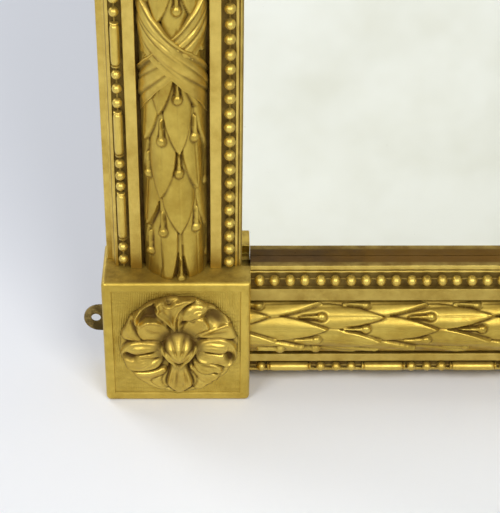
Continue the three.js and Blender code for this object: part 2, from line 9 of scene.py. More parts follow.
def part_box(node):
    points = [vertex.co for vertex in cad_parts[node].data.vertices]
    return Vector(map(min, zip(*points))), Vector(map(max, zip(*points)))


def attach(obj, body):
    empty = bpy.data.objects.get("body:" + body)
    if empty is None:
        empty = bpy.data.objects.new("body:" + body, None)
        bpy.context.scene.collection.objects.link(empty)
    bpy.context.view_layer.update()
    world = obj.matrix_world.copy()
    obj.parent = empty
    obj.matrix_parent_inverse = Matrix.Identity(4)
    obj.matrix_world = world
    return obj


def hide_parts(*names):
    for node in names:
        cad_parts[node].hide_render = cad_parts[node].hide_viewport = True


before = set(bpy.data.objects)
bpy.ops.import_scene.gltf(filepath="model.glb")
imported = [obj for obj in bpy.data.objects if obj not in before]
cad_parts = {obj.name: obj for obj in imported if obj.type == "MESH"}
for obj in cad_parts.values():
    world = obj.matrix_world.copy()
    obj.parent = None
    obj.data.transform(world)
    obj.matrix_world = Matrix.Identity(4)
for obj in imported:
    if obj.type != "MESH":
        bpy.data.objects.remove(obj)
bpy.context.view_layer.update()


# ---- Mouldings ------------------------------------------------------------------
# Two stiles and three rails, run in pine, coated with gesso and water gilded.
# Every arris is a little rounded by the gesso, and the lip behind the sight edge,
# the rebate and the back were never gilded. The ends are butted and glued.
def box_mm(node):
    """Lowest and highest corner of a CAD node in millimetres."""
    low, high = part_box(node)
    return np.array(low) * 1000, np.array(high) * 1000


block_low, block_high = box_mm("corner_block_bottom_left")
FRONT = block_low[1]
BACK = block_high[1]
BLOCK_SIDE = block_high[0] - block_low[0]
BLOCK_DEPTH = BACK - FRONT
HALF = -block_low[0]
FRAME_HEIGHT = box_mm("corner_block_top_left")[1][2]
ROLL_LINE = BLOCK_SIDE / 2

# Depths behind the front of the blocks, and how far the ground runs beside the roll.
FILLET = 25.0
CHANNEL = 30.2
GROUND = 34.5
GILDED_LIP = 36.0
BAND = 41.0
LIP = 46.0
GROUND_REACH = 31.5
LIST_WIDTH = 3.0
LIP_WIDTH = 8.5


def node_group(name, inputs, outputs):
    """An empty shader group, what it is given, and what it has to work out."""
    group = bpy.data.node_groups.new(name, "ShaderNodeTree")
    kinds = {"colour": "NodeSocketColor", "value": "NodeSocketFloat", "vector": "NodeSocketVector"}
    for label, kind, value in inputs:
        socket = group.interface.new_socket(label, in_out="INPUT", socket_type=kinds[kind])
        socket.default_value = value
    for label, kind in outputs:
        group.interface.new_socket(label, in_out="OUTPUT", socket_type=kinds[kind])
    given = group.nodes.new("NodeGroupInput").outputs
    result = group.nodes.new("NodeGroupOutput").inputs
    return group, given, result


def feed(tree, value, target):
    """Links a socket to an input, or writes a number or a colour there."""
    if isinstance(value, bpy.types.NodeSocket):
        tree.links.new(value, target)
    else:
        target.default_value = value


def feed_all(tree, values, targets):
    """Feeds several inputs, by their names or numbers."""
    for label, value in values.items():
        feed(tree, value, targets[label])


def add(tree, kind, values=None, **settings):
    """A new shader node: values go to its inputs, and settings are its properties."""
    node = tree.nodes.new("ShaderNode" + kind)
    for key, value in settings.items():
        setattr(node, key, value)
    feed_all(tree, values or {}, node.inputs)
    return node


def maths(tree, operation, first, second=0.5, clamp=False):
    """The output of a Math node; each input is a socket or a number."""
    return add(tree, "Math", {0: first, 1: second}, operation=operation, use_clamp=clamp).outputs[0]


def plus(tree, first, second, clamp=False):
    return maths(tree, "ADD", first, second, clamp)


def minus(tree, first, second):
    return maths(tree, "SUBTRACT", first, second)


def times(tree, first, second, clamp=False):
    return maths(tree, "MULTIPLY", first, second, clamp)


def weighted(tree, first, first_share, second, second_share):
    return plus(tree, times(tree, first, first_share), times(tree, second, second_share))


def blend_colours(tree, share, first, second):
    """The colour between two, by share; each input is a socket or a value."""
    return add(tree, "Mix", {0: share, 6: first, 7: second}, data_type="RGBA").outputs[2]


def spread(tree, value, low, high, new_low=0.0, new_high=1.0):
    """value mapped from low..high to new_low..new_high, smoothly and clamped."""
    limits = {"Value": value, "From Min": low, "From Max": high, "To Min": new_low, "To Max": new_high}
    return add(tree, "MapRange", limits, interpolation_type="SMOOTHSTEP").outputs["Result"]


def own_place(tree):
    """Where a point lies in the object's own frame, in metres."""
    return add(tree, "TexCoord").outputs["Object"]


def split(tree, vector):
    return add(tree, "SeparateXYZ", {0: vector}).outputs


def noise(tree, where, scale, detail=3.0, rough=0.55):
    values = {"Vector": where, "Scale": scale, "Detail": detail, "Roughness": rough}
    return add(tree, "TexNoise", values).outputs["Fac"]


def stretched(tree, where, scale):
    """Coordinates scaled by a different factor along each axis."""
    return add(tree, "Mapping", {"Vector": where, "Scale": scale}).outputs["Vector"]


def colour(red, green, blue):
    """A display colour from 0 to 255 as the linear colour a shader takes."""
    shares = [level / 255 for level in (red, green, blue)]
    linear = [s / 12.92 if s <= 10 / 255 else ((s + 0.055) / 1.055) ** 2.4 for s in shares]
    return (*linear, 1.0)


def gilding_group():
    """Leaf laid over clay.

    The tone drifts, hollows take painted shade mixed with old size and grime, faces
    that look upward take painted shade, and clay shows where the leaf is rubbed.
    """
    group, given, result = node_group(
        "Gilding",
        [
            ("Gold", "colour", colour(226, 190, 98)),
            ("Toned Gold", "colour", colour(196, 158, 74)),
            ("Shade and Dirt", "colour", colour(88, 62, 14)),
            ("Clay", "colour", colour(150, 84, 44)),
            ("Hollow", "value", 0.0),
            ("Rubbing", "value", 0.3),
            ("Roughness", "value", 0.36),
        ],
        [("Color", "colour"), ("Roughness", "value"), ("Height", "value"), ("Metal", "value")],
    )
    where = own_place(group)
    drift = noise(group, where, 11.0, 2.0)
    patch = noise(group, where, 75.0, 4.0, 0.6)
    fine = noise(group, where, 620.0, 3.0, 0.6)
    wave = noise(group, where, 160.0, 2.0)
    tone = spread(group, weighted(group, drift, 0.55, patch, 0.45), 0.36, 0.66)
    toned = blend_colours(group, tone, given["Gold"], given["Toned Gold"])
    rub = spread(group, weighted(group, patch, 0.5, fine, 0.5), 0.56, 0.72)
    rubbed = blend_colours(group, times(group, rub, given["Rubbing"]), toned, given["Clay"])
    # hollows take painted shade, with old size and grime
    hollow_shade_and_dirt = times(group, given["Hollow"], plus(group, 0.72, times(group, patch, 0.55)), True)
    # faces that look upward take painted shade
    upward = spread(group, split(group, add(group, "NewGeometry").outputs["Normal"])[2], 0.8, 0.97)
    upward_shade = times(group, upward, spread(group, patch, 0.3, 0.7, 0.4, 0.74))
    deep = maths(group, "MAXIMUM", hollow_shade_and_dirt, upward_shade)
    gloss = plus(group, given["Roughness"], times(group, minus(group, patch, 0.5), 0.16))
    looks = {
        "Color": blend_colours(group, deep, rubbed, given["Shade and Dirt"]),
        "Roughness": plus(group, gloss, times(group, deep, 0.28), True),
        "Height": weighted(group, wave, 0.7, fine, 0.3),
        "Metal": minus(group, 1.0, times(group, deep, 0.85)),
    }
    feed_all(group, looks, result)
    return group


def pine_group():
    """Bare pine: long grain along one axis, darker late wood, and grime in patches."""
    group, given, result = node_group(
        "Pine",
        [
            ("Grain Place", "vector", (0, 0, 0)),
            ("Early Wood", "colour", colour(168, 134, 88)),
            ("Late Wood", "colour", colour(116, 82, 46)),
            ("Grime", "colour", colour(62, 48, 34)),
            ("Grime Amount", "value", 0.4),
        ],
        [("Color", "colour"), ("Roughness", "value"), ("Height", "value")],
    )
    bend = noise(group, given["Grain Place"], 3.0, 2.0)
    rings = noise(group, given["Grain Place"], 16.0, 5.0, 0.62)
    streak = noise(group, given["Grain Place"], 70.0, 3.0, 0.7)
    late = spread(group, weighted(group, bend, 0.3, rings, 0.7), 0.44, 0.6)
    wood = blend_colours(group, late, given["Early Wood"], given["Late Wood"])
    wood = blend_colours(group, times(group, streak, 0.35), wood, given["Late Wood"])
    patches = spread(group, noise(group, own_place(group), 7.0, 4.0), 0.35, 0.7)
    soil = times(group, patches, given["Grime Amount"])
    looks = {
        "Color": blend_colours(group, soil, wood, given["Grime"]),
        "Roughness": spread(group, streak, 0.2, 0.8, 0.62, 0.86),
        "Height": weighted(group, rings, 0.4, streak, 0.6),
    }
    feed_all(group, looks, result)
    return group


GILDING = gilding_group()
PINE = pine_group()


def new_material(name):
    made = bpy.data.materials.new(name)
    made.use_nodes = True
    tree = made.node_tree
    return made, tree, tree.nodes["Principled BSDF"].inputs


def placed_group(tree, group, values):
    """The outputs of a group placed in a material, with its own values."""
    node = tree.nodes.new("ShaderNodeGroup")
    node.node_tree = group
    feed_all(tree, values, node.inputs)
    return node.outputs


def bump(tree, height, distance, below=None):
    """A normal raised by a height, over the normal below it if there is one."""
    node = add(tree, "Bump", {"Strength": 1.0, "Distance": distance, "Height": height})
    if below:
        feed(tree, below, node.inputs["Normal"])
    return node.outputs["Normal"]


def mark(tree, name):
    """A number that the mesh carries at each vertex."""
    return add(tree, "Attribute", attribute_name=name).outputs["Fac"]


def gilt_material(name, gold, toned, rubbing, roughness, bump_depth, hatch=None):
    """Gilding wherever the mesh isn't marked bare, and dark old pine where it is.

    hatch, where it is given, returns the normal of a pattern that lies under the leaf.
    """
    made, tree, shader = new_material(name)
    bare = mark(tree, "bare")
    leaf = placed_group(tree, GILDING, {
        "Gold": gold, "Toned Gold": toned, "Hollow": mark(tree, "hollow"), "Rubbing": rubbing,
        "Roughness": roughness,
    })
    wood = placed_group(tree, PINE, {
        "Grain Place": stretched(tree, own_place(tree), (1.0, 1.0, 1.0)),
        "Early Wood": colour(106, 75, 22), "Late Wood": colour(70, 48, 11), "Grime Amount": 0.6,
    })
    metal = times(tree, minus(tree, 1.0, bare), leaf["Metal"])
    looks = {
        "Base Color": blend_colours(tree, bare, leaf["Color"], wood["Color"]),
        "Metallic": times(tree, metal, 0.93),
        "Roughness": plus(tree, leaf["Roughness"], times(tree, bare, 0.4), True),
        "Specular IOR Level": 0.2,
        "Normal": bump(tree, leaf["Height"], bump_depth, hatch(tree) if hatch else None),
    }
    feed_all(tree, looks, shader)
    return made


UPRIGHT_GRAIN = (1.0, 1.0, 0.06)
LEVEL_GRAIN = (0.06, 1.0, 1.0)


def raw_wood(name, grain, early, late, grime):
    """Bare old pine, its pattern drawn out along the grain."""
    made, tree, shader = new_material(name)
    wood = placed_group(tree, PINE, {
        "Grain Place": stretched(tree, own_place(tree), grain), "Early Wood": early, "Late Wood": late,
        "Grime Amount": grime,
    })
    looks = {
        "Base Color": wood["Color"],
        "Roughness": wood["Roughness"],
        "Normal": bump(tree, wood["Height"], 0.0005),
    }
    feed_all(tree, looks, shader)
    return made


def bare_behind(made, wood, depth):
    """Bare wood on every face that lies within a depth of the frame's back."""
    mesh = made.data
    mesh.materials.append(wood)
    for face in mesh.polygons:
        if all(mesh.vertices[i].co.y * 1000 > BACK - depth for i in face.vertices):
            face.material_index = 1


pine_upright = raw_wood("pine_upright", UPRIGHT_GRAIN, colour(150, 116, 72), colour(104, 75, 42), 0.5)
pine_level = raw_wood("pine_level", LEVEL_GRAIN, colour(150, 116, 72), colour(104, 75, 42), 0.5)
gilt_moulding = gilt_material(
    "gilt_moulding", colour(219, 192, 100), colour(190, 160, 74), 0.22, 0.36, 0.0004
)


def put_in_scene(name, mesh, node, slot):
    """An object that rides on the frame and stands for its CAD node."""
    made = bpy.data.objects.new(name, mesh)
    bpy.context.scene.collection.objects.link(made)
    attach(made, "root")
    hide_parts(node)
    return made


def make_piece(name, points, faces, finish, node, slot, marks=None, smooth=40.0):
    """One closed object from points in millimetres, with a number for each point under each mark."""
    mesh = bpy.data.meshes.new(name)
    faces = faces.tolist() if isinstance(faces, np.ndarray) else faces
    mesh.from_pydata((np.asarray(points) / 1000).tolist(), [], faces)
    # hollow carries painted shade and grime on gilding, and foxing on the glass
    for label in ("hollow", "bare"):
        layer = mesh.attributes.new(label, "FLOAT", "POINT")
        values = np.zeros(len(mesh.vertices), np.float32)
        values[:] = (marks or {}).get(label, 0.0)
        layer.data.foreach_set("value", values)
    mesh.materials.append(finish)
    mesh.validate()
    mesh.shade_smooth()
    mesh.set_sharp_from_angle(angle=math.radians(smooth))
    made = put_in_scene(name, mesh, node, slot)
    work = bmesh.new()
    work.from_mesh(mesh)
    bmesh.ops.recalc_face_normals(work, faces=work.faces)
    work.to_mesh(mesh)
    work.free()
    return made


def weigh_normals(made):
    """Flat faces keep flat shading beside small rounded arrises."""
    weighted_faces = made.modifiers.new("flat faces", "WEIGHTED_NORMAL")
    weighted_faces.keep_sharp = True
    weighted_faces.weight = 100


def band_between(first, second, count):
    """The faces between two rings of points, given the number of each ring's first point."""
    after = [(k + 1) % count for k in range(count)]
    return [(first + k, first + after[k], second + after[k], second + k) for k in range(count)]


def eased(section):
    """Rounds each corner of a section. A corner is (across, depth, radius, bare)."""
    out = []
    count = len(section)
    for i, (across, depth, radius, bare) in enumerate(section):
        here = np.array([across, depth])
        before = np.array(section[i - 1][:2]) - here
        after = np.array(section[(i + 1) % count][:2]) - here
        reach = min(radius, 0.45 * np.linalg.norm(before), 0.45 * np.linalg.norm(after))
        if reach < 0.02:
            out.append((*here, bare))
            continue
        first = here + before / np.linalg.norm(before) * reach
        last = here + after / np.linalg.norm(after) * reach
        for share in (0.0, 0.33, 0.67, 1.0):
            curve = (1 - share) ** 2 * first + 2 * share * (1 - share) * here + share**2 * last
            out.append((*curve, bare))
    return out


def trough(fillet_end, channel):
    """Section from the ground beside the roll, over the fillet, to the end of the string's channel."""
    return [
        (GROUND_REACH, GROUND, 0.3, 0),
        (GROUND_REACH, FILLET, 0.8, 0),
        (fillet_end, FILLET, 0.8, 0),
        (fillet_end, CHANNEL, 0.4, 0),
        (fillet_end + channel, CHANNEL, 0.4, 0),
    ]


def outer_side(fillet_end, channel, band):
    """Section from the roll outwards to the back: fillet, bead channel, list, cove, band."""
    list_start = fillet_end + channel
    edge = list_start + LIST_WIDTH + 2.9 + band
    return trough(fillet_end, channel) + [
        (list_start, 28.9, 0.7, 0),
        (list_start + LIST_WIDTH, 28.9, 1.0, 0),
        (list_start + 3.3, 33.6, 1.2, 0),
        (list_start + 4.4, 35.6, 0.8, 0),
        (list_start + 5.9, 35.8, 0.7, 0),
        (list_start + 6.0, BAND, 0.5, 0),
        (edge, BAND, 1.1, 0),
        (edge, BLOCK_DEPTH - 3, 0.2, 0),
        (edge, BLOCK_DEPTH - 2.8, 0.0, 1),
        (edge, BLOCK_DEPTH, 0.6, 1),
    ]


def sight_side(fillet_end, channel, strip):
    """Section from the roll to the sight edge, then back round the rebate."""
    list_start = fillet_end + channel
    sight = list_start + strip[-1][0]
    return trough(fillet_end, channel) + [
        *[(list_start + across, depth, radius, 0) for across, depth, radius in strip],
        (sight, strip[-1][1] + 0.9, 0.0, 0.45),
        (sight, GILDED_LIP - 0.6, 0.0, 0.75),
        (sight, GILDED_LIP + 0.2, 0.0, 1),
        (sight, LIP, 0.4, 1),
        (sight - LIP_WIDTH, LIP, 0.3, 1),
        (sight - LIP_WIDTH, BLOCK_DEPTH, 0.5, 1),
    ]


# The list and the thin strips at the sight edge: across, depth and the rounding of each corner.
STILE_STRIP = [
    (0.0, 29.0, 0.6), (2.6, 29.0, 0.6), (2.9, 30.4, 0.2),
    (3.6, 30.4, 0.2), (3.9, 29.3, 0.5), (6.7, 31.0, 0.7),
]
RAIL_STRIP = [
    (0.0, 28.7, 0.5), (1.8, 28.7, 0.5), (2.1, 30.6, 0.2),
    (2.9, 30.6, 0.2), (3.2, 28.9, 0.6), (7.6, 28.9, 0.5),
]
STILE_OUTER = outer_side(42.0, 11.2, 5.9)
STILE_SIGHT = sight_side(41.8, 12.2, STILE_STRIP)
RAIL_OUTER = outer_side(40.3, 11.2, 6.5)
RAIL_SIGHT = sight_side(44.5, 16.3, RAIL_STRIP)


def channel_shade_and_dirt(across, depth, upright):
    """How much painted shade and grime each point of a section takes: the channels and the ground take
    most.
    """
    shade_and_dirt = 0.95 * ((depth > GROUND - 0.6) & (depth < GROUND + 0.1))
    shade_and_dirt = np.maximum(shade_and_dirt, 0.8 * (np.abs(depth - CHANNEL) < 0.05))
    if not upright:
        # on the rails the fillets take painted shade, more on the upper one
        shade_and_dirt = np.maximum(shade_and_dirt, np.where(across > 0, 0.27, 0.1) * (np.abs(depth - FILLET) < 0.9))
    return np.maximum(shade_and_dirt, 0.8 * ((depth > 30.3) & (depth < 31.0)))


def run_moulding(node, low_side, high_side, centre, upright, seed):
    """Sweeps a section along a stile (upright) or rail, uneven as gesso scraped by hand is."""
    low, high = box_mm(node)
    lengthwise = 2 if upright else 0
    section = eased([(-a, d, r, b) for a, d, r, b in reversed(low_side)] + high_side)
    across, depth, bare = np.array(section).T
    steps = int((high[lengthwise] - low[lengthwise]) / 22) + 1
    along = np.linspace(low[lengthwise], high[lengthwise], steps + 1)
    rng = np.random.default_rng(seed)
    phases = rng.uniform(0, 6.28, (3, 4))
    rings = []
    for place in along:
        sway = sum(
            math.sin(place / length + phase[0]) * np.sin(across / 9 + phase[1])
            for length, phase in zip((37.0, 83.0, 151.0), phases)
        )
        ease = 0.09 * sway * (bare < 0.5) * (depth < LIP)
        ring = np.zeros((len(section), 3))
        ring[:, lengthwise] = place
        ring[:, 2 - lengthwise] = centre + across + 0.5 * ease
        ring[:, 1] = FRONT + depth + np.abs(ease)
        rings.append(ring)
    count = len(section)
    quads = []
    for step in range(steps):
        quads += band_between(step * count, (step + 1) * count, count)
    quads.append(list(range(count))[::-1])
    quads.append(list(range(steps * count, (steps + 1) * count)))
    marks = {
        "bare": np.tile(bare, steps + 1),
        "hollow": np.tile(channel_shade_and_dirt(across, depth, upright), steps + 1),
    }
    points = np.concatenate(rings)
    made = make_piece(node + "_run", points, quads, gilt_moulding, node, "gilt_moulding", marks)
    bare_behind(made, pine_upright if upright else pine_level, 2.95)
    weigh_normals(made)


SIDES = (("left", -1), ("right", 1))
for side_name, sign in SIDES:
    stile_sides = (STILE_OUTER, STILE_SIGHT) if sign < 0 else (STILE_SIGHT, STILE_OUTER)
    run_moulding(f"stile_{side_name}", *stile_sides, sign * (HALF - ROLL_LINE), True, 11 + sign)

transom_low, transom_high = box_mm("transom")
RAIL_LINES = {
    "bottom": ROLL_LINE,
    "transom": (transom_low[2] + transom_high[2]) / 2,
    "top": FRAME_HEIGHT - ROLL_LINE,
}
run_moulding("bottom_rail", RAIL_OUTER, RAIL_SIGHT, RAIL_LINES["bottom"], False, 21)
run_moulding("transom", RAIL_SIGHT, RAIL_SIGHT, RAIL_LINES["transom"], False, 22)
run_moulding("top_rail", RAIL_SIGHT, RAIL_OUTER, RAIL_LINES["top"], False, 23)


# ---- Corner blocks --------------------------------------------------------------
# Square blocks of pine with a sunk, hatched ground for the rosette. The gesso has
# rounded their upright corners. Each is notched behind for the glass and recessed for
# its wall plate, and glued to stile and rail.
BLOCK_CORNER = 4.6
BLOCK_ARRIS = 0.5
BLOCK_BORDER = 9.3
HATCH_PITCH = 0.0016
BLOCKS = (
    ("bottom_left", -1, 1),
    ("bottom_right", 1, 1),
    ("top_left", -1, -1),
    ("top_right", 1, -1),
)


def hatch_group():
    """A ground hatched by hand in two directions, as a height."""
    choices = [("Line Pitch", "value", HATCH_PITCH), ("Waver", "value", 0.35)]
    group, given, result = node_group("Hatched Ground", choices, [("Height", "value")])
    where = own_place(group)
    parts = split(group, where)
    turns = maths(group, "DIVIDE", 6.2832, given["Line Pitch"])
    waver = times(group, noise(group, where, 90.0, 2.0), times(group, given["Waver"], 14.0))
    lines = [
        maths(group, "SINE", plus(group, times(group, parts[axis], turns), waver))
        for axis in (0, 2)
    ]
    share = spread(group, noise(group, where, 30.0, 2.0), 0.4, 0.6)
    upright = times(group, lines[0], plus(group, 0.35, times(group, share, 0.65)))
    level = times(group, lines[1], minus(group, 0.9, times(group, share, 0.6)))
    feed(group, plus(group, upright, level), result["Height"])
    return group


HATCH = hatch_group()


def hatched(tree):
    """The hatching's normal, wherever the mesh is marked hatched."""
    lines = times(tree, placed_group(tree, HATCH, {})["Height"], mark(tree, "hatched"))
    return bump(tree, lines, 0.00015)


gilt_block = gilt_material(
    "gilt_block", colour(212, 184, 86), colour(185, 156, 65), 0.3, 0.4, 0.0004, hatched
)


def plain_copy(node):
    """The CAD node's own shape as a clean bmesh in metres, its flat faces whole."""
    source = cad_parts[node].data
    work = bmesh.new()
    corners = [work.verts.new(v.co) for v in source.vertices]
    for face in source.polygons:
        try:
            work.faces.new([corners[i] for i in face.vertices])
        except ValueError:
            continue
    bmesh.ops.remove_doubles(work, verts=work.verts, dist=1e-6)
    bmesh.ops.dissolve_limit(work, angle_limit=math.radians(0.5), verts=work.verts, edges=work.edges)
    return work


def sharp_edges(work, degrees):
    return [
        edge for edge in work.edges
        if len(edge.link_faces) == 2 and edge.calc_face_angle(0) > math.radians(degrees)
    ]


def bevel(work, edges, width, segments=3):
    bmesh.ops.bevel(
        work, geom=edges, offset=width / 1000, offset_type="OFFSET", segments=segments,
        profile=0.5, affect="EDGES", clamp_overlap=True,
    )


def object_of(work, name, finish, node, slot):
    """An object from a bmesh in metres. Its broad faces are shaded flat."""
    mesh = bpy.data.meshes.new(name)
    bmesh.ops.recalc_face_normals(work, faces=work.faces)
    for face in work.faces:
        face.smooth = 2 * face.calc_area() / face.calc_perimeter() < 0.004
    work.to_mesh(mesh)
    work.free()
    mesh.materials.append(finish)
    mesh.set_sharp_from_angle(angle=math.radians(50))
    return put_in_scene(name, mesh, node, slot)


def block_marks(points, middle):
    """Where a block's front is hatched, and the thin line of painted shade along its edges that dims their
    highlight.
    """
    from_middle = np.maximum(abs(points[:, 0] - middle[0]), abs(points[:, 2] - middle[2]))
    at_edge = from_middle > BLOCK_SIDE / 2 - BLOCK_ARRIS * 0.8
    return {
        "hatched": (from_middle < BLOCK_SIDE / 2 - BLOCK_BORDER) & (points[:, 1] < FRONT + 2),
        "hollow": 0.7 * (at_edge & (points[:, 1] < FRONT + BLOCK_ARRIS * 0.9)),
    }


for corner, *_ in BLOCKS:
    node = f"corner_block_{corner}"
    low, high = box_mm(node)
    work = plain_copy(node)
    uprights = [
        edge for edge in work.edges
        if all(min(abs(v.co.x * 1000 - low[0]), abs(v.co.x * 1000 - high[0])) < 0.01 for v in edge.verts)
        and all(min(abs(v.co.z * 1000 - low[2]), abs(v.co.z * 1000 - high[2])) < 0.01 for v in edge.verts)
        and edge.calc_length() > 0.05
    ]
    bevel(work, uprights, BLOCK_CORNER, 4)
    bevel(work, sharp_edges(work, 35), BLOCK_ARRIS)
    made = object_of(work, f"block_{corner}", gilt_block, node, "gilt_moulding")
    points = np.zeros(len(made.data.vertices) * 3)
    made.data.vertices.foreach_get("co", points)
    for label, values in block_marks(points.reshape(-1, 3) * 1000, (low + high) / 2).items():
        layer = made.data.attributes.new(label, "FLOAT", "POINT")
        layer.data.foreach_set("value", values.astype(np.float32))
    bare_behind(made, pine_upright, 0.8)
    weigh_normals(made)


# ---- Rosettes -----------------------------------------------------------------------
# One carved flower glued in the sunk square of each block: a fluted bud in a cup of
# sepals, with curled petals of different shapes round it. Carved in limewood or cast
# in composition, then gilded with the frame. Painted shade lies under the curled rims and round the bud.
ROSETTE_RADIUS = 56.3
ROSETTE_RISE = 12.9
ROSETTE_CELL = 0.6
# painted shade on the skirt that draws a flower's edge back to its seat
FLOWER_SKIRT_SHADE = 0.9

gilt_carving = gilt_material(
    "gilt_carving", colour(216, 188, 92), colour(188, 158, 70), 0.22, 0.35, 0.0003
)


def rounded_outline(points, rounds=2):
    """A closed outline with its corners cut to a curve."""
    line = np.array(points, float)
    for _ in range(rounds):
        after = np.roll(line, -1, axis=0)
        line = np.stack([0.75 * line + 0.25 * after, 0.25 * line + 0.75 * after], 1).reshape(-1, 2)
    return line


def inside_distance(px, pz, outline):
    """Distance of each point to a closed outline, positive inside it."""
    nearest = np.full(px.shape, 1e9)
    inside = np.zeros(px.shape, bool)
    for (ax, az), (bx, bz) in zip(outline, np.roll(outline, -1, axis=0)):
        ex, ez = bx - ax, bz - az
        share = np.clip(((px - ax) * ex + (pz - az) * ez) / max(ex * ex + ez * ez, 1e-9), 0, 1)
        nearest = np.minimum(nearest, (px - ax - share * ex) ** 2 + (pz - az - share * ez) ** 2)
        if ez:
            crosses = (az > pz) != (bz > pz)
            inside ^= crosses & (px < ax + (pz - az) / ez * ex)
    return np.where(inside, 1, -1) * np.sqrt(nearest)


def line_distance(px, pz, line):
    """Distance of each point to an open line, and the share of the line up to the nearest place."""
    line = np.array(line, float)
    lengths = np.linalg.norm(np.diff(line, axis=0), axis=1)
    starts = np.concatenate([[0], np.cumsum(lengths)])
    nearest = np.full(px.shape, 1e9)
    along = np.zeros(px.shape)
    for i, ((ax, az), (bx, bz)) in enumerate(zip(line[:-1], line[1:])):
        ex, ez = bx - ax, bz - az
        share = np.clip(((px - ax) * ex + (pz - az) * ez) / max(ex * ex + ez * ez, 1e-9), 0, 1)
        gap = (px - ax - share * ex) ** 2 + (pz - az - share * ez) ** 2
        closer = gap < nearest
        nearest = np.where(closer, gap, nearest)
        along = np.where(closer, (starts[i] + share * lengths[i]) / starts[-1], along)
    return np.sqrt(nearest), along


def softened(field, cells):
    """A field blurred over a number of cells in both directions."""
    reach = max(1, int(3 * cells))
    weights = np.exp(-0.5 * (np.arange(-reach, reach + 1) / cells) ** 2)
    weights /= weights.sum()
    for axis in (0, 1):
        pad = [(reach, reach) if a == axis else (0, 0) for a in (0, 1)]
        wide = np.pad(field, pad, mode="edge")
        total = np.zeros_like(field)
        for i, weight in enumerate(weights):
            total += weight * np.take(wide, np.arange(i, i + field.shape[axis]), axis=axis)
        field = total
    return field


class Carving:
    """A relief cut petal by petal; each new form overlies what is already there."""

    def __init__(self, px, pz, ground):
        self.px, self.pz = px, pz
        self.height = np.zeros(px.shape) + ground
        self.painted_shade = np.zeros(px.shape)

    def petal(
        self, outline, root, tip, low, high, crown=0.0, rim=0.0, rounds=2, groove=1.0, swell=8.0
    ):
        """A petal, low at its root and high at its tip, swelling to a crown, with a raised rim."""
        deep = inside_distance(self.px, self.pz, rounded_outline(outline, rounds))
        way = np.array(tip, float) - root
        share = ((self.px - root[0]) * way[0] + (self.pz - root[1]) * way[1]) / (way @ way)
        own = low + (high - low) * np.clip(share, 0, 1)
        full = np.clip(deep / min(swell, max(deep.max(), 1.0)), 0, 1)
        own += crown * (np.sqrt(1 - (1 - full) ** 2) - 0.45)
        own += rim * np.exp(-(((deep - 1.8) / 1.5) ** 2))
        own -= 1.6 * np.exp(-deep / 0.6)
        beside = np.clip(1 + deep / 2.2, 0, 1) * (deep <= 0)
        self.height = np.where(deep > 0, own, self.height - 1.3 * groove * beside)
        self.painted_shade = np.where(deep > 0, 0, self.painted_shade)

    def ridge(self, line, width, rise, fade=True):
        """A raised fold along a line; a negative rise cuts a furrow."""
        gap, along = line_distance(self.px, self.pz, line)
        ends = np.sin(math.pi * np.clip(along, 0.02, 0.98)) ** 0.5 if fade else 1.0
        self.height = self.height + rise * ends * np.exp(-((gap / width) ** 2))

    def hollow(self, centre, across, depth, turn=0.0):
        """A scooped hollow with half sizes across, turned by an angle in degrees, and painted shade in it.
        """
        c, s = math.cos(math.radians(turn)), math.sin(math.radians(turn))
        dx, dz = self.px - centre[0], self.pz - centre[1]
        u = (dx * c + dz * s) / across[0]
        v = (-dx * s + dz * c) / across[1]
        scoop = np.exp(-((u * u + v * v) ** 1.7))
        self.height = self.height - depth * scoop
        self.painted_shade = np.maximum(self.painted_shade, np.clip(depth / 5.0, 0, 1) * scoop)


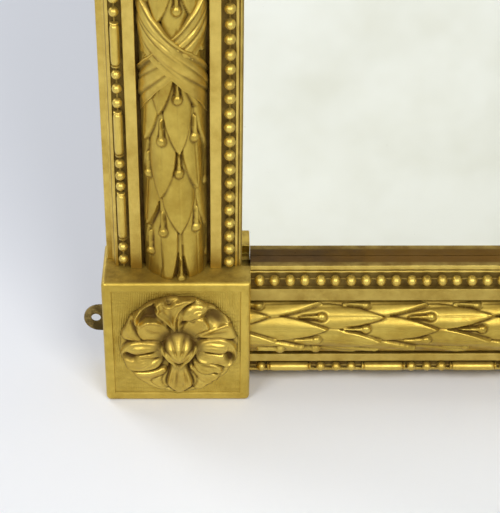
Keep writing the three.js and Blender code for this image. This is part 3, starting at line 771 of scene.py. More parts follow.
def add_bud(cut, px, pz):
    """A bud in a gap darkened with painted shade, fluted from a tip below its middle, with a thin sepal at
    each side.
    """
    far = np.hypot(px, pz)
    bud_far = np.hypot((px - 0.2) / 1.02, (pz + 1.2) / 1.16)
    gap = np.clip((17.0 - bud_far) / 2.2, 0, 1)
    cut.height = cut.height * (1 - gap) + np.minimum(cut.height, 2.8) * gap
    # painted shade in a ring round the bud, and in the gap below it
    cut.painted_shade = np.maximum(cut.painted_shade, 0.8 * np.exp(-(((far - 18.0) / 5.5) ** 2)))
    cut.painted_shade = np.maximum(cut.painted_shade, 0.95 * gap * np.clip((pz + 15) / 9, 0.2, 1))
    half = 13.9 * np.sqrt(np.clip(1 - ((pz + 1.2) / 16.1) ** 2, 0, 1))
    across = np.sqrt(np.clip(1 - (px / np.maximum(half, 0.1)) ** 2, 0, 1)) ** 0.7
    tip_ease = np.sqrt(np.clip(1 - (np.clip(-8.0 - pz, 0, 12) / 14.5) ** 2, 0, 1))
    climb = np.clip((14.0 - pz) / 15.0, 0, 1) * tip_ease
    from_tip = np.hypot(px - 0.6, pz + 16.0)
    flutes = np.abs(np.cos(np.arctan2(px - 0.6, pz + 16.0) * 6.2 + 0.3)) ** 0.8
    flute_depth = np.clip(climb * across * 2.2, 0, 1) * np.clip((from_tip - 7.0) / 5.0, 0, 1)
    bud = 2.0 + 10.6 * across * climb + 3.6 * (flutes - 1.0) * flute_depth
    in_bud = (bud_far < 13.9) & (bud > cut.height - 1.5)
    cut.height = np.where(in_bud, bud, cut.height)
    # painted shade between the flutes and over the bud's upper edge
    shade = 1.4 * np.clip(0.55 - flutes, 0, 1) * flute_depth
    shade = shade + 0.95 * np.clip((bud_far - 8.0) / 5.0, 0, 1) * (pz > -4)
    cut.painted_shade = np.where(in_bud, np.clip(shade, 0, 0.95), cut.painted_shade)
    for dot, size in (((-4.8, -7.0), 2.2), ((4.8, -6.6), 2.2), ((0.2, -10.8), 2.0), ((-0.2, -4.6), 1.7)):
        spot = np.hypot(px - dot[0], pz - dot[1])
        cut.height = cut.height + 1.9 * np.exp(-((spot / size) ** 2))
    for lean in (-1, 1):
        sepal = [(lean * 15.8, -1), (lean * 14.0, -7.5), (lean * 9.0, -14.5), (lean * 3.2, -19.5)]
        sepal_gap, sepal_along = line_distance(px, pz, sepal)
        blade = 10.2 - 5.5 * np.clip(0.5 - sepal_along, 0, 1) - 0.9 * sepal_gap**2
        over = (sepal_gap < 1.7) & (blade > cut.height)
        cut.height = np.where(over, blade, cut.height)
        # painted shade along the outer edge of each sepal
        cut.painted_shade = np.where(over, 0.35 * np.clip(sepal_gap - 1.2, 0, 1), cut.painted_shade)


def rosette_relief(px, pz):
    """The flower's height over its ground, its edge, and where painted shade lies, at full size."""
    far = np.hypot(px, pz)
    turn = np.arctan2(pz, px)
    cut = Carving(px, pz, 2.6 + 1.0 * np.cos(np.clip(far / ROSETTE_RADIUS, 0, 1) * 1.5))
    # upper left: an outer swirl, then the scooped petal with its turned lower lip
    cut.petal([(-14, 8), (-30, 4), (-50, 7), (-54, 12), (-51, 24), (-46, 34), (-39, 43),
               (-29, 50), (-34, 38), (-38, 22), (-30, 11)], (-14, 9), (-48, 36), 4.6, 4.4, 2.2, 1.2)
    cut.ridge([(-20, 8), (-36, 8), (-46, 14), (-49, 24), (-45, 34)], 2.4, 1.9)
    cut.ridge([(-33, 13), (-41, 20), (-43.5, 31), (-40, 42)], 1.3, -1.6)
    cut.petal([(-17, 9), (-29, 11), (-38, 20), (-42.5, 32), (-39, 43.5), (-30, 51), (-19, 54.5), (-13, 46),
               (-10, 30), (-9, 16)], (-12, 12), (-34, 46), 6.0, 6.6, 0.8, 2.4)
    cut.ridge([(-17, 53), (-28, 50), (-36.5, 43.5), (-39.5, 33), (-37, 23)], 3.0, 3.4)
    cut.hollow((-24.5, 39.0), (11.5, 7.5), 7.4, 35)
    cut.petal([(-8, 8), (-18, 2), (-30, 3), (-37.5, 12), (-39.5, 23), (-35.5, 30), (-28.5, 33), (-24, 31),
               (-19, 31.5), (-13, 27), (-6, 17)], (-8, 8), (-27, 33), 2.6, 9.0, 2.4, 0.8)
    cut.ridge([(-16, 14), (-25, 17), (-31, 22)], 2.2, -1.0)
    cut.ridge([(-36, 26.5), (-29, 31), (-22, 30.5), (-15, 26.5)], 1.3, 1.8)
    # upper right: the largest curl, its back turned over the dark of the scoop
    cut.petal([(-2, 17), (-2.6, 30), (0.5, 44), (5, 52), (15, 55), (28, 50), (42, 40.5),
               (52, 28.5), (46, 25), (32, 20), (18, 13), (6, 14)], (4, 16), (34, 44), 6.2, 5.6, 1.4, 1.8)
    cut.ridge([(-0.5, 22), (-0.8, 33), (2, 43), (8, 50), (17, 52.3), (28, 48.5), (40, 40)], 2.3, 1.4)
    cut.ridge([(5.5, 30), (7.5, 36), (13, 40.5), (21, 41.0), (27, 39)], 7.5, 5.6)
    cut.ridge([(3.2, 30), (2.8, 38), (7, 46.5), (15, 50)], 1.2, -1.8)
    cut.hollow((33.5, 34.5), (10.5, 7.2), 7.2, -38)
    cut.hollow((5.0, 29.0), (4.2, 2.0), 3.6, 50)
    cut.ridge([(9, 38.5), (16, 44.5), (24, 45)], 0.8, -1.1)
    cut.ridge([(12, 37), (18, 42), (25, 42)], 0.8, -1.1)
    cut.ridge([(16, 37), (21, 40), (26, 40)], 0.8, -1.1)
    cut.ridge([(8, 31.5), (12, 36), (18, 37), (21, 41), (26, 41.5), (27, 46)], 1.4, 2.2)
    cut.petal([(1.5, 12), (3.5, 24), (7.5, 31), (13, 33.5), (15.5, 36.5), (20, 34.5), (24, 35),
               (27, 29), (30, 22), (26, 13), (16, 7)], (6, 10), (18, 34), 2.8, 9.0, 2.6, 0.9, 1)
    cut.ridge([(9, 32), (14, 29.5), (17, 34.5)], 1.0, -1.6)
    cut.ridge([(21, 20), (24, 26), (22, 32)], 1.3, -1.0)
    # right, upper: a small pointed leaf
    cut.petal([(15, 11.5), (24, 18.5), (32, 21.8), (40, 26), (46.5, 28.3), (50, 24), (54.5, 19), (55.5, 9),
               (44, 8.5), (28, 9.5)], (16, 11), (50, 20), 6.0, 5.0, 2.6, 1.4)
    cut.ridge([(26, 18.5), (35, 22.5), (45, 26.5), (49, 24)], 1.5, 2.2)
    cut.ridge([(22, 12.5), (36, 15.5), (48, 17)], 1.8, -1.6)
    # right: a petal folded in two, with a small eye in the fold and a rim turned inwards
    cut.petal([(15.5, 2), (21, 8.8), (30, 10.8), (40, 11), (49, 7), (55, -1), (56, -11),
               (54, -21), (46, -26), (36, -21.5), (24, -19.5), (15, -14)],
              (16, -4), (52, -8), 5.6, 4.6, 2.6, 1.6)
    cut.ridge([(19, 0.2), (30, 0.6), (41, -0.6), (47, -3.5)], 7.2, 5.8)
    cut.ridge([(16, -14.5), (23, -18.0), (31, -20.5)], 4.6, 3.8)
    cut.ridge([(32, -13.5), (44, -14)], 4.0, 1.6)
    cut.ridge([(21, -3.5), (30, -5.8), (38, -7.6), (46, -8.5)], 1.5, -4.2)
    cut.hollow((29.0, -5.2), (3.8, 2.0), 3.4, -15)
    cut.hollow((48, -13.0), (4.2, 7.6), 5.6, 14)
    cut.ridge([(50, 4), (54, -5), (54.3, -14), (50, -22)], 1.8, 2.0)
    for drop in (0.0, 3.4, 6.4):
        cut.ridge([(20, 6.0 - drop), (31, 7.0 - drop), (43, 4.5 - drop)], 0.8, -0.8)
    cut.ridge([(24, -18), (34, -18.6), (44, -22)], 1.2, -1.5)
    # lower right: two folds, one over the other, their edges nibbled
    cut.petal([(9, -19), (18, -26), (30, -31), (39.5, -36), (37, -39), (38, -42), (31, -43),
               (32, -46), (27, -46.5), (24, -51), (19, -53.5), (12, -50), (9, -36)],
              (11, -22), (30, -42), 4.8, 3.2, 2.4, 1.0, 1)
    cut.petal([(12, -13), (22, -18.5), (33, -20.5), (42, -25.5), (40, -28), (42, -31),
               (37, -33.5), (34, -31), (30, -33), (24, -33.5), (15, -27)],
              (13, -15), (38, -29), 6.6, 4.8, 3.0, 1.0, 1)
    cut.ridge([(18, -19), (27, -23.5), (36, -26.5)], 1.8, -1.7)
    cut.ridge([(14, -26), (22, -33), (30, -37)], 2.0, 1.4)
    cut.ridge([(13, -32), (19, -40), (25, -45)], 1.2, -1.2)
    # left: the mirror of the right petal, broader
    cut.petal([(-15.5, 4), (-24, 7.2), (-36, 7.8), (-47, 5), (-54, -3), (-55.8, -14),
               (-51, -26), (-43, -30), (-30, -28.5), (-19, -25), (-13.5, -14)],
              (-15, -6), (-52, -10), 5.6, 4.6, 2.6, 1.4)
    cut.ridge([(-19, -0.5), (-30, -0.6), (-41, -2.5), (-48, -6)], 5.8, 5.2)
    cut.ridge([(-20, -15), (-30, -19), (-42, -21)], 6.0, 3.0)
    cut.ridge([(-20, -3.4), (-28, -6.4), (-38, -9.2), (-46, -11.5)], 1.4, -4.0)
    cut.hollow((-27, -5.8), (3.6, 1.8), 3.2, 10)
    cut.hollow((-46, -11), (6.4, 4.6), 6.0, -20)
    for lean in (-34, -24, -14, -4):
        end = (-19 - 19 * math.cos(math.radians(lean)), -13 + 19 * math.sin(math.radians(lean)))
        cut.ridge([(-18, -12), end], 0.9, -1.8)
    # lower left: a long petal with a bright upper edge and a small leaf tucked under it
    cut.petal([(-12, -22), (-22, -26.5), (-32, -29), (-45, -31), (-43.5, -36), (-37, -42),
               (-27, -49), (-19, -53.5), (-11, -52), (-8, -38)],
              (-12, -24), (-34, -42), 5.6, 3.0, 1.8, 0.8)
    cut.ridge([(-14, -27), (-24, -31.0), (-35, -33.5), (-42, -34.5)], 3.6, 3.0)
    cut.petal([(-12, -33), (-20, -36), (-28, -41.5), (-25, -46), (-18, -51), (-11, -50)],
              (-12, -36), (-24, -46), 4.4, 3.2, 2.2, 0.9)
    # straight down: a ribbed tongue between two thin leaves
    for lean in (-1, 1):
        cut.petal([(lean * 5, -22), (lean * 13, -30), (lean * 18, -40), (lean * 15, -49), (lean * 7, -52)],
                  (lean * 6, -24), (lean * 14, -44), 4.4, 2.8, 1.4, 0.6)
    cut.petal([(-7, -16), (6, -16), (8.5, -28), (13, -41), (12.5, -48), (6, -53), (0.5, -56.2),
               (-5, -53.5), (-11, -48), (-12, -41), (-8.5, -28)],
              (0, -18), (0, -52), 8.4, 4.4, 4.0, 0.5, 2, 1.8, 6.0)
    for start, end in ((-4.6, -8.6), (-1.6, -3.2), (2.0, 4.2), (4.6, 9.0)):
        cut.ridge([(start, -20), ((start + end) / 2, -36), (end, -50)], 1.0, -2.0)
    cut.ridge([(0.8, -20), (3.0, -30), (3.4, -44)], 1.8, 2.8)
    # top: a thin outer band, and a jagged leaf turned over between the two scoops
    cut.petal([(-24, 44), (-21, 51), (-12, 55.5), (0, 56.3), (12, 56.3), (26, 51.5), (40, 42.5),
               (50, 31), (54, 20), (49, 27), (40, 37), (28, 47), (14, 51), (5, 46), (-3, 44), (-12, 44)],
              (0, 44), (2, 56), 5.2, 4.6, 0.8, 0.9)
    cut.petal([(-2.2, 16), (-8, 24), (-13, 32), (-22.5, 41), (-19.8, 45), (-22, 50), (-16, 56.5),
               (-12.5, 54), (-10.5, 49.0), (-7.5, 47.6), (-4.0, 52), (1, 53.5), (6, 56.2), (14, 56),
               (20, 53.8), (10, 50.5), (3.0, 44), (-1.6, 33), (-1.6, 22)],
              (-3, 20), (-8, 52), 8.2, 7.6, 1.6, 1.6, 1, 2.0)
    cut.ridge([(-17, 54), (-19.5, 48.5), (-18.0, 44), (-20.5, 41), (-13, 32.5), (-7.5, 24)], 1.7, 2.6)
    cut.ridge([(-13, 47), (-14, 42), (-9, 34)], 1.6, -1.2)
    cut.ridge([(6, 49), (0, 43), (-3.4, 32), (-3.6, 22)], 2.2, 1.3)
    cut.ridge([(-15, 54), (-11, 50.5), (-8, 49.5), (-4.5, 52), (1, 53.5)], 1.3, 1.8)
    cut.ridge([(-4.0, 20), (-7, 33), (-7.5, 45)], 2.2, -1.6)
    cut.ridge([(-2.5, 50), (5, 53.5), (13, 54.5)], 1.3, 1.2)
    add_bud(cut, px, pz)
    # painted shade in the notch at the top
    cut.painted_shade = np.maximum(cut.painted_shade, 0.95 * np.exp(-(((px + 9.5) / 3.6) ** 2) - ((pz - 52.5) / 3.0) ** 2))
    edge = ROSETTE_RADIUS - 0.5 - 1.2 * np.cos(8 * turn + 0.6) ** 2 * (pz > -46)
    tongue = np.clip((11.0 - np.abs(px)) / 3.0, 0, 1) * (pz < -44)
    rounded = np.maximum(np.clip((edge - far) / 1.8, 0, 1), 0.75 * tongue)
    # a painted shadow line round the flower's rim
    painted_shade = np.maximum(cut.painted_shade, 0.6 * np.clip((far - edge + 1.6) / 1.6, 0, 1))
    fall = 0.40 + 0.60 * np.sqrt(1 - (1 - rounded) ** 2)
    return np.clip(cut.height, 0.9, ROSETTE_RISE) * fall, edge, painted_shade


def relief_mesh(px, pz, height, hollow, keep):
    """The part of a relief that is kept: its points, its faces and its marks for dirt."""
    number = -np.ones(px.shape, int)
    number[keep] = np.arange(keep.sum())
    i, j = np.nonzero(keep[:-1, :-1] & keep[1:, :-1] & keep[1:, 1:] & keep[:-1, 1:])
    quads = np.stack([number[i, j], number[i + 1, j], number[i + 1, j + 1], number[i, j + 1]], 1)
    return np.stack([px[keep], -height[keep], pz[keep]], 1), quads, hollow[keep]


def flower_relief(radius, cell, relief, thickness):
    """A round flower cut on a grid, with its edge drawn out to a smooth line."""
    steps = int(2 * radius / cell) + 3
    line = (np.arange(steps) - (steps - 1) / 2) * cell
    px, pz = np.meshgrid(line, line, indexing="ij")
    scale = ROSETTE_RADIUS / radius
    raw, edge, painted_shade = relief(px * scale, pz * scale)
    raw = raw * thickness / scale
    height = softened(raw, 0.5 / cell / scale)
    wide = softened(raw, 3.4 / cell / scale)
    # painted shade where a point lies below its blurred surroundings, and the relief's own painted shade
    hollow = np.clip((wide - height) * scale / 1.9, 0, 1)
    hollow = np.maximum(hollow, softened(painted_shade, 0.8 / cell / scale))
    far = np.hypot(px, pz)
    keep = far < edge / scale
    stretch = np.where(far > 0, edge / scale / np.maximum(far, 1e-6), 1)
    rim = keep & (far > edge / scale - 1.2 * cell)
    px = np.where(rim, px * stretch, px)
    pz = np.where(rim, pz * stretch, pz)
    return relief_mesh(px, pz, height, hollow, keep)


def with_skirt(points, quads, hollow):
    """Closes a relief: its open edge is drawn straight back to its seat and capped there."""
    work = bmesh.new()
    layer = work.verts.layers.float.new("hollow")
    corners = [work.verts.new(p) for p in points]
    for quad in quads.tolist():
        work.faces.new([corners[i] for i in quad])
    loose = [v for v in work.verts if not v.link_faces]
    for vert, value in zip(corners, hollow):
        vert[layer] = value
    bmesh.ops.delete(work, geom=loose, context="VERTS")
    rim = [e for e in work.edges if e.is_boundary]
    grown = bmesh.ops.extrude_edge_only(work, edges=rim)["geom"]
    for item in grown:
        if isinstance(item, bmesh.types.BMVert):
            item.co.y = 0.0
            item[layer] = FLOWER_SKIRT_SHADE
    bmesh.ops.contextual_create(work, geom=[e for e in work.edges if e.is_boundary])
    bmesh.ops.recalc_face_normals(work, faces=work.faces)
    return work


def place_flower(work, name, node, centre, seat, mirrored=False, turned=0.0):
    """A copy of a flower, in millimetres, set at a place on the frame."""
    copy = work.copy()
    c, s = math.cos(turned), math.sin(turned)
    for vert in copy.verts:
        x, y, z = vert.co
        x, z = x * c - z * s, x * s + z * c
        x = -x if mirrored else x
        vert.co = ((centre[0] + x) / 1000, (seat + y) / 1000, (centre[1] + z) / 1000)
    if mirrored:
        bmesh.ops.reverse_faces(copy, faces=copy.faces)
    mesh = bpy.data.meshes.new(name)
    copy.to_mesh(mesh)
    copy.free()
    mesh.materials.append(gilt_carving)
    mesh.shade_smooth()
    mesh.set_sharp_from_angle(angle=math.radians(75))
    put_in_scene(name, mesh, node, "gilt_carving")


flower = with_skirt(*flower_relief(ROSETTE_RADIUS, ROSETTE_CELL, rosette_relief, 1.0))
for corner, side, up in BLOCKS:
    node = f"rosette_{corner}"
    low, high = box_mm(node)
    centre = ((low[0] + high[0]) / 2, (low[2] + high[2]) / 2)
    turned = 0.0 if up > 0 else math.pi
    place_flower(flower, f"flower_{corner}", node, centre, high[1], side > 0, turned)


# ---- Laurel rolls ---------------------------------------------------------------------
# Half-round rolls of carved laurel glued on the ground between the fillets: pointed
# leaves in overlapping columns, and a berry on its stem below every leaf tip. On the
# stiles the leaves hang down; on the rails they run from the blocks to the middle.
ROLL_RADIUS = 27.5
LEAF_FULL_AT = 48.0
LEAF_LENGTH = 112.0
SLOPE_REACH = 41.0
BERRY_RADIUS = 4.7
STEM_LENGTH = 23.0
DEEPEST_CUT = -9.0


gilt_laurel = gilt_material(
    "gilt_laurel", colour(204, 177, 83), colour(177, 148, 62), 0.22, 0.35, 0.0003
)


def leaf_width(t, widest, full_at):
    """Half width of a leaf at a distance up from its tip."""
    body = np.sin(math.pi / 2 * np.clip(t / full_at, 0, 1) ** 0.93)
    return widest * body * (1 - 0.3 * np.clip((t - full_at) / LEAF_LENGTH, 0, 1))


def carve_leaf(part, t, s, leaf, slope, rng):
    """Lays one leaf over a part of the roll. t runs up from its tip and s across it."""
    _, _, widest, full_at, berry, _ = leaf
    half = leaf_width(np.maximum(t, 0), widest, full_at)
    wide = np.maximum(half, 1)
    flank = half - np.abs(s)
    steep = 0.85 * widest / full_at * (t < full_at) + 0.2
    gap = np.where(t < 0, -np.hypot(t, s), flank / np.sqrt(1 + steep**2))
    own = -slope * t / SLOPE_REACH * LEAF_FULL_AT / full_at + 1.1 * (1 - (s / wide) ** 2)
    own -= 0.55 * np.exp(-np.clip(gap, 0, 9) / 0.5)
    own += rng.uniform(-0.18, 0.18) + rng.uniform(-0.5, 0.5) * s / wide
    own += 0.22 * np.sin(t / 9.0 + rng.uniform(0, 6.28)) * np.clip(np.abs(s) / wide, 0, 1)
    rib_end = berry - 6 if berry else 60
    own -= 0.5 * np.exp(-((s / 0.75) ** 2)) * (t > 7) * (t < rib_end)
    beside = np.clip(1 + gap / 1.5, 0, 1) * (gap <= 0) * (t > -2)
    part[:] = np.where(gap > 0, own, part - 1.0 * beside)


def carve_berry(part, u, s, seat):
    """Sets a berry and the stem above it on a part of the roll, in a sunk ring."""
    from_middle = np.hypot(u, s)
    halo = np.clip(1 - np.abs(from_middle - BERRY_RADIUS - 0.9) / 1.1, 0, 1) * (u < 6)
    stem_half = 1.1 + 1.9 * np.clip(1 - u / 21.0, 0, 1) ** 1.4
    stem_zone = (u > 0) & (u < STEM_LENGTH)
    stem = seat + 0.9 + 1.5 * np.sqrt(np.clip(1 - (s / stem_half) ** 2, 0, 1)) - 0.6
    pit = np.clip(1 - (np.abs(s) - stem_half) / 3.0, 0, 1) * (np.abs(s) > stem_half) * stem_zone
    pit = pit * np.clip(u / 7.0, 0, 1) * np.clip((STEM_LENGTH - u) / 7.0, 0, 1)
    ball = seat + 3.3 * np.sqrt(np.clip(1 - (from_middle / BERRY_RADIUS) ** 2, 0, 1)) + 0.2
    drop = np.where(stem_zone & (np.abs(s) < stem_half) & (u < STEM_LENGTH - 1.5), stem, DEEPEST_CUT)
    drop = np.where(from_middle < BERRY_RADIUS, np.maximum(ball, drop), drop)
    part[:] = np.maximum(part - 1.1 * halo - 2.3 * pit, drop)


def stretch_of(along, low, high):
    """The columns of a roll between two places along it, or None if it has none there."""
    rows = np.nonzero((along > low) & (along < high))[0]
    return slice(rows[0], rows[-1] + 1) if len(rows) else None


def carve_roll(angle, along, leaves, slope, seed, calm_from=70.0, ground=-2.4):
    """Height over the roll's radius of leaves laid tip over stem, the lowest first.

    A leaf is (angle, tip, widest, full_at, berry, lean): angles in degrees, tips and the
    berry's distance from the tip along the roll, and lean as millimetres sideways at the tip.
    """
    rng = np.random.default_rng(seed)
    turn, place = np.meshgrid(np.radians(angle), along, indexing="ij")
    height = np.full(turn.shape, ground)
    berries = []
    for leaf in sorted(leaves, key=lambda leaf: leaf[1]):
        leaf_angle, tip, _, full_at, berry, lean = leaf
        part = stretch_of(along, tip - 3, tip + LEAF_LENGTH * full_at / LEAF_FULL_AT)
        if part is None:
            continue
        t = place[:, part] - tip
        s = (turn[:, part] - math.radians(leaf_angle)) * ROLL_RADIUS
        s = s - lean * np.clip(1 - t / full_at, 0, 1) ** 2
        carve_leaf(height[:, part], t, s, leaf, slope, rng)
        if berry:
            berries.append((leaf_angle, tip + berry))
    for berry_angle, at in berries:
        part = stretch_of(along, at - 12, at + 26)
        if part is None:
            continue
        s = (turn[:, part] - math.radians(berry_angle)) * ROLL_RADIUS
        middle = np.argmin(np.abs(np.asarray(angle) - berry_angle))
        seat = height[middle, np.argmin(np.abs(along - at))]
        carve_berry(height[:, part], place[:, part] - at, s, seat)
    fuller = np.clip((np.abs(turn) - 0.75) / 0.5, 0, 1)
    degrees = np.degrees(turn)
    calm = np.maximum(np.clip((degrees - 70) / 16, 0, 1), np.clip((-degrees - calm_from) / 12, 0, 1))
    height = np.where(height > DEEPEST_CUT, height + 1.5 * fuller, height)
    return height * (1 - calm) + 1.2 * calm


def roll_mesh(place_point, angle, along, height, cell):
    """A closed half roll. place_point turns its (out, side, along) into points of the frame."""
    soft = softened(height, 0.5 / cell)
    # painted shade in the hollows between leaves and round the berries
    hollow = np.clip((softened(height, 2.4 / cell) - soft - 0.12) / 1.5, 0, 1)
    turn = np.radians(angle)[:, None]
    out = (ROLL_RADIUS + soft) * np.cos(turn)
    out[0], out[-1] = 0, 0
    side = (ROLL_RADIUS + soft) * np.sin(turn)
    # painted shade where the roll comes down to its ground
    low = np.clip((14 - out) / 14, 0, 1)
    hollow = np.maximum(hollow, 0.75 * low**1.6)
    points = place_point(out, side, np.broadcast_to(along[None, :], out.shape)).reshape(-1, 3)
    rows, columns = out.shape
    index = np.arange(rows * columns).reshape(rows, columns)
    front = np.stack([index[:-1, :-1], index[1:, :-1], index[1:, 1:], index[:-1, 1:]], -1)
    back = np.stack([index[0, :-1], index[0, 1:], index[-1, 1:], index[-1, :-1]], -1)
    quads = front.reshape(-1, 4).tolist() + back.tolist()
    quads.append(index[::-1, 0].tolist())
    quads.append(index[:, -1].tolist())
    return points, quads, hollow.reshape(-1)


def patterned_leaves(start, stop, columns, period, first, widest, full_at, berry_at, seed):
    """Leaves in columns; every other column is half a period out of step."""
    rng = np.random.default_rng(seed)
    leaves = []
    # each column starts well before the roll and ends just after it
    for number, column in enumerate(columns):
        tip = first + (number % 2) * period / 2 - period * math.ceil((first - start) / period + 2)
        while tip < stop + 10:
            leaf = (
                column + rng.uniform(-1.6, 1.6),
                tip + rng.uniform(-2.5, 2.5),
                widest + rng.uniform(-0.9, 1.2),
                full_at,
                berry_at + rng.uniform(-4, 4),
                rng.uniform(-1.2, 1.2),
            )
            leaves.append(leaf)
            tip += period
    return leaves


def build_roll(name, node, leaves, place_point, ends, cell, slope, seed, calm_from=70.0, ground=-2.4):
    """One stretch of carved roll between two ends; cell is the size of its grid."""
    angle = np.linspace(-90, 90, int(math.pi * ROLL_RADIUS / cell) + 1)
    along = np.linspace(*ends, int((ends[1] - ends[0]) / cell) + 1)
    height = carve_roll(angle, along, leaves, slope, seed, calm_from, ground)
    points, quads, hollow = roll_mesh(place_point, angle, along, height, cell)
    make_piece(name, points, quads, gilt_laurel, node, "gilt_carving", {"hollow": hollow}, 60.0)


roll_low, roll_high = box_mm("laurel_roll_left")
ROLL_SEAT = roll_high[1]
STILE_FOOT = roll_low[2]
STILE_HEAD = roll_high[2]
STILE_PERIOD = 84.0
STILE_COLUMNS = (-98.0, -62.0, -25.6, 11.0, 48.5, 84.0)
STILE_SLOPE = 2.8
FIRST_TIE = 362.0
TIES = [FIRST_TIE, FRAME_HEIGHT / 2, FRAME_HEIGHT - FIRST_TIE]

# The foot of the left stile, leaf by leaf: angle, tip, widest, full width at, berry, lean.
FOOT_LEAVES = [
    (11.5, 104.0, 2.6, 48.0, 33.0, 0.0),
    (11.0, 185.0, 19.0, 48.0, 63.0, 0.0),
    (10.0, 267.0, 15.4, 48.0, 54.5, 0.5),
    (9.0, 349.0, 16.5, 48.0, 61.5, 0.0),
    (-25.6, 102.0, 17.6, 100.0, 84.0, 0.0),
    (-25.6, 222.0, 15.5, 48.0, 57.5, -0.6),
    (-27.0, 306.0, 15.5, 48.0, None, 0.0),
    (48.5, 102.0, 18.0, 100.0, 86.5, 0.0),
    (48.0, 228.5, 14.5, 48.0, 53.0, 0.6),
    (48.0, 311.0, 15.0, 48.0, None, 0.0),
    (-62.0, 105.0, 16.0, 48.0, 55.0, 0.0),
    (-63.0, 187.0, 16.0, 48.0, 55.5, 0.0),
    (-62.0, 276.0, 16.0, 48.0, 60.0, 0.0),
    (84.0, 98.0, 16.0, 48.0, 55.0, 0.0),
    (84.0, 178.0, 16.0, 48.0, 53.0, 0.0),
    (84.0, 262.0, 16.0, 48.0, 55.0, 0.0),
    (-98.0, 145.0, 16.0, 48.0, None, 0.0),
    (-98.0, 228.0, 16.0, 48.0, None, 0.0),
    (-98.0, 310.0, 16.0, 48.0, None, 0.0),
]


def upright_place(centre, mirrored):
    """Sets a roll upright; the right stile's roll is the mirror of the left one's."""

    def place(out, side, along):
        return np.stack([centre + (-side if mirrored else side), ROLL_SEAT - out, along], -1)

    return place


for side_name, sign in SIDES:
    seed = 31 + sign
    above = patterned_leaves(
        TIES[0], STILE_HEAD, STILE_COLUMNS, STILE_PERIOD, 306.0, 16.2, LEAF_FULL_AT, 60.0, seed
    )
    foot = FOOT_LEAVES + [leaf for leaf in above if leaf[1] > TIES[0] - 8]
    place_point = upright_place(sign * (HALF - ROLL_LINE), sign > 0)
    node = f"laurel_roll_{side_name}"
    foot_ends = (STILE_FOOT, TIES[0])
    name = f"laurel_{side_name}_foot"
    build_roll(name, node, foot, place_point, foot_ends, 0.66, STILE_SLOPE, seed, ground=-4.8)
    for part, ends in enumerate(zip(TIES, TIES[1:] + [STILE_HEAD])):
        leaves = [leaf for leaf in above if ends[0] - 150 < leaf[1] < ends[1] + 10]
        name = f"laurel_{side_name}_{part + 1}"
        build_roll(name, node, leaves, place_point, ends, 0.95, STILE_SLOPE, seed + part)


RAIL_PERIOD = 105.0
RAIL_FULL_AT = 62.0
RAIL_ROWS = (75.5, 47.0, 19.0, -9.5, -38.0, -66.5, -95.0)
CORNER_REACH = 455.0

# The left end of the bottom rail: rows by angle, tips by their distance from the frame's side.
CORNER_LEAVES = [
    (47.0, 155.5, 13.5, 61.0),
    (47.0, 264.7, 14.0, 60.0),
    (47.0, 367.6, 14.0, 60.0),
    (19.0, 211.0, 15.0, None),
    (19.0, 315.4, 15.0, 69.0),
    (19.0, 420.0, 14.0, 64.0),
    (-9.5, 163.0, 14.0, None),
    (-9.5, 262.0, 14.5, 62.0),
    (-9.5, 366.0, 14.0, 62.0),
    (-38.0, 189.8, 14.0, 24.0),
    (-38.0, 295.9, 14.5, None),
    (-38.0, 402.0, 14.0, 60.0),
    (75.5, 205.0, 13.0, 60.0),
    (75.5, 306.0, 13.0, 60.0),
    (75.5, 411.0, 13.0, 60.0),
    (-66.5, 240.0, 13.0, None),
    (-66.5, 346.0, 13.0, None),
    (-49.0, 262.0, 4.5, 62.0),
    (-50.0, 347.0, 4.5, 61.0),
]


def half_rail(place_name, side_name, sign):
    """Half a rail's roll. Its leaves point at the middle, and those of the top rail outwards."""
    node = f"laurel_roll_{place_name}"
    outward = place_name == "top"
    at_corner = place_name == "bottom"
    seed = 51 + sign + len(place_name)
    rail_end = abs(box_mm(node)[0][0])
    # along runs against the leaves' direction, so that tips come first as on the stile
    first = -rail_end if outward else 0.0
    ends = (first, first + rail_end)

    def place(out, side, along):
        reach = -along if outward else along
        return np.stack([sign * reach, ROLL_SEAT - out, RAIL_LINES[place_name] + side], -1)

    rng = np.random.default_rng(seed)
    leaves = patterned_leaves(
        first - 40, ends[1], RAIL_ROWS, RAIL_PERIOD, first + 14.0, 13.8, RAIL_FULL_AT, 60.0, seed
    )
    if at_corner:
        seen = [
            (row, HALF - tip, widest + 1.0, RAIL_FULL_AT, berry, rng.uniform(-1.0, 1.0))
            for row, tip, widest, berry in CORNER_LEAVES
        ]
        leaves = [leaf for leaf in leaves if leaf[1] < HALF - CORNER_REACH] + seen
    cell = 0.62 if at_corner and sign < 0 else 0.9
    build_roll(f"laurel_{place_name}_{side_name}", node, leaves, place, ends, cell, 4.1, seed, 56.0)


for place_name in RAIL_LINES:
    for side_name, sign in SIDES:
        half_rail(place_name, side_name, sign)


# ---- Crossed ribbons ------------------------------------------------------------------
# Two bands of ribbon, carved apart and glued over the roll. They cross at 45 degrees,
# gathered in lengthwise folds, with their upper edges curled outwards. The band that
# falls to the right lies over the other. Gilded with the frame.
RIBBON_HALF = 20.0
RIBBON_LIFT = 1.5
# painted shade on the band's side walls
RIBBON_WALL_SHADE = 0.9


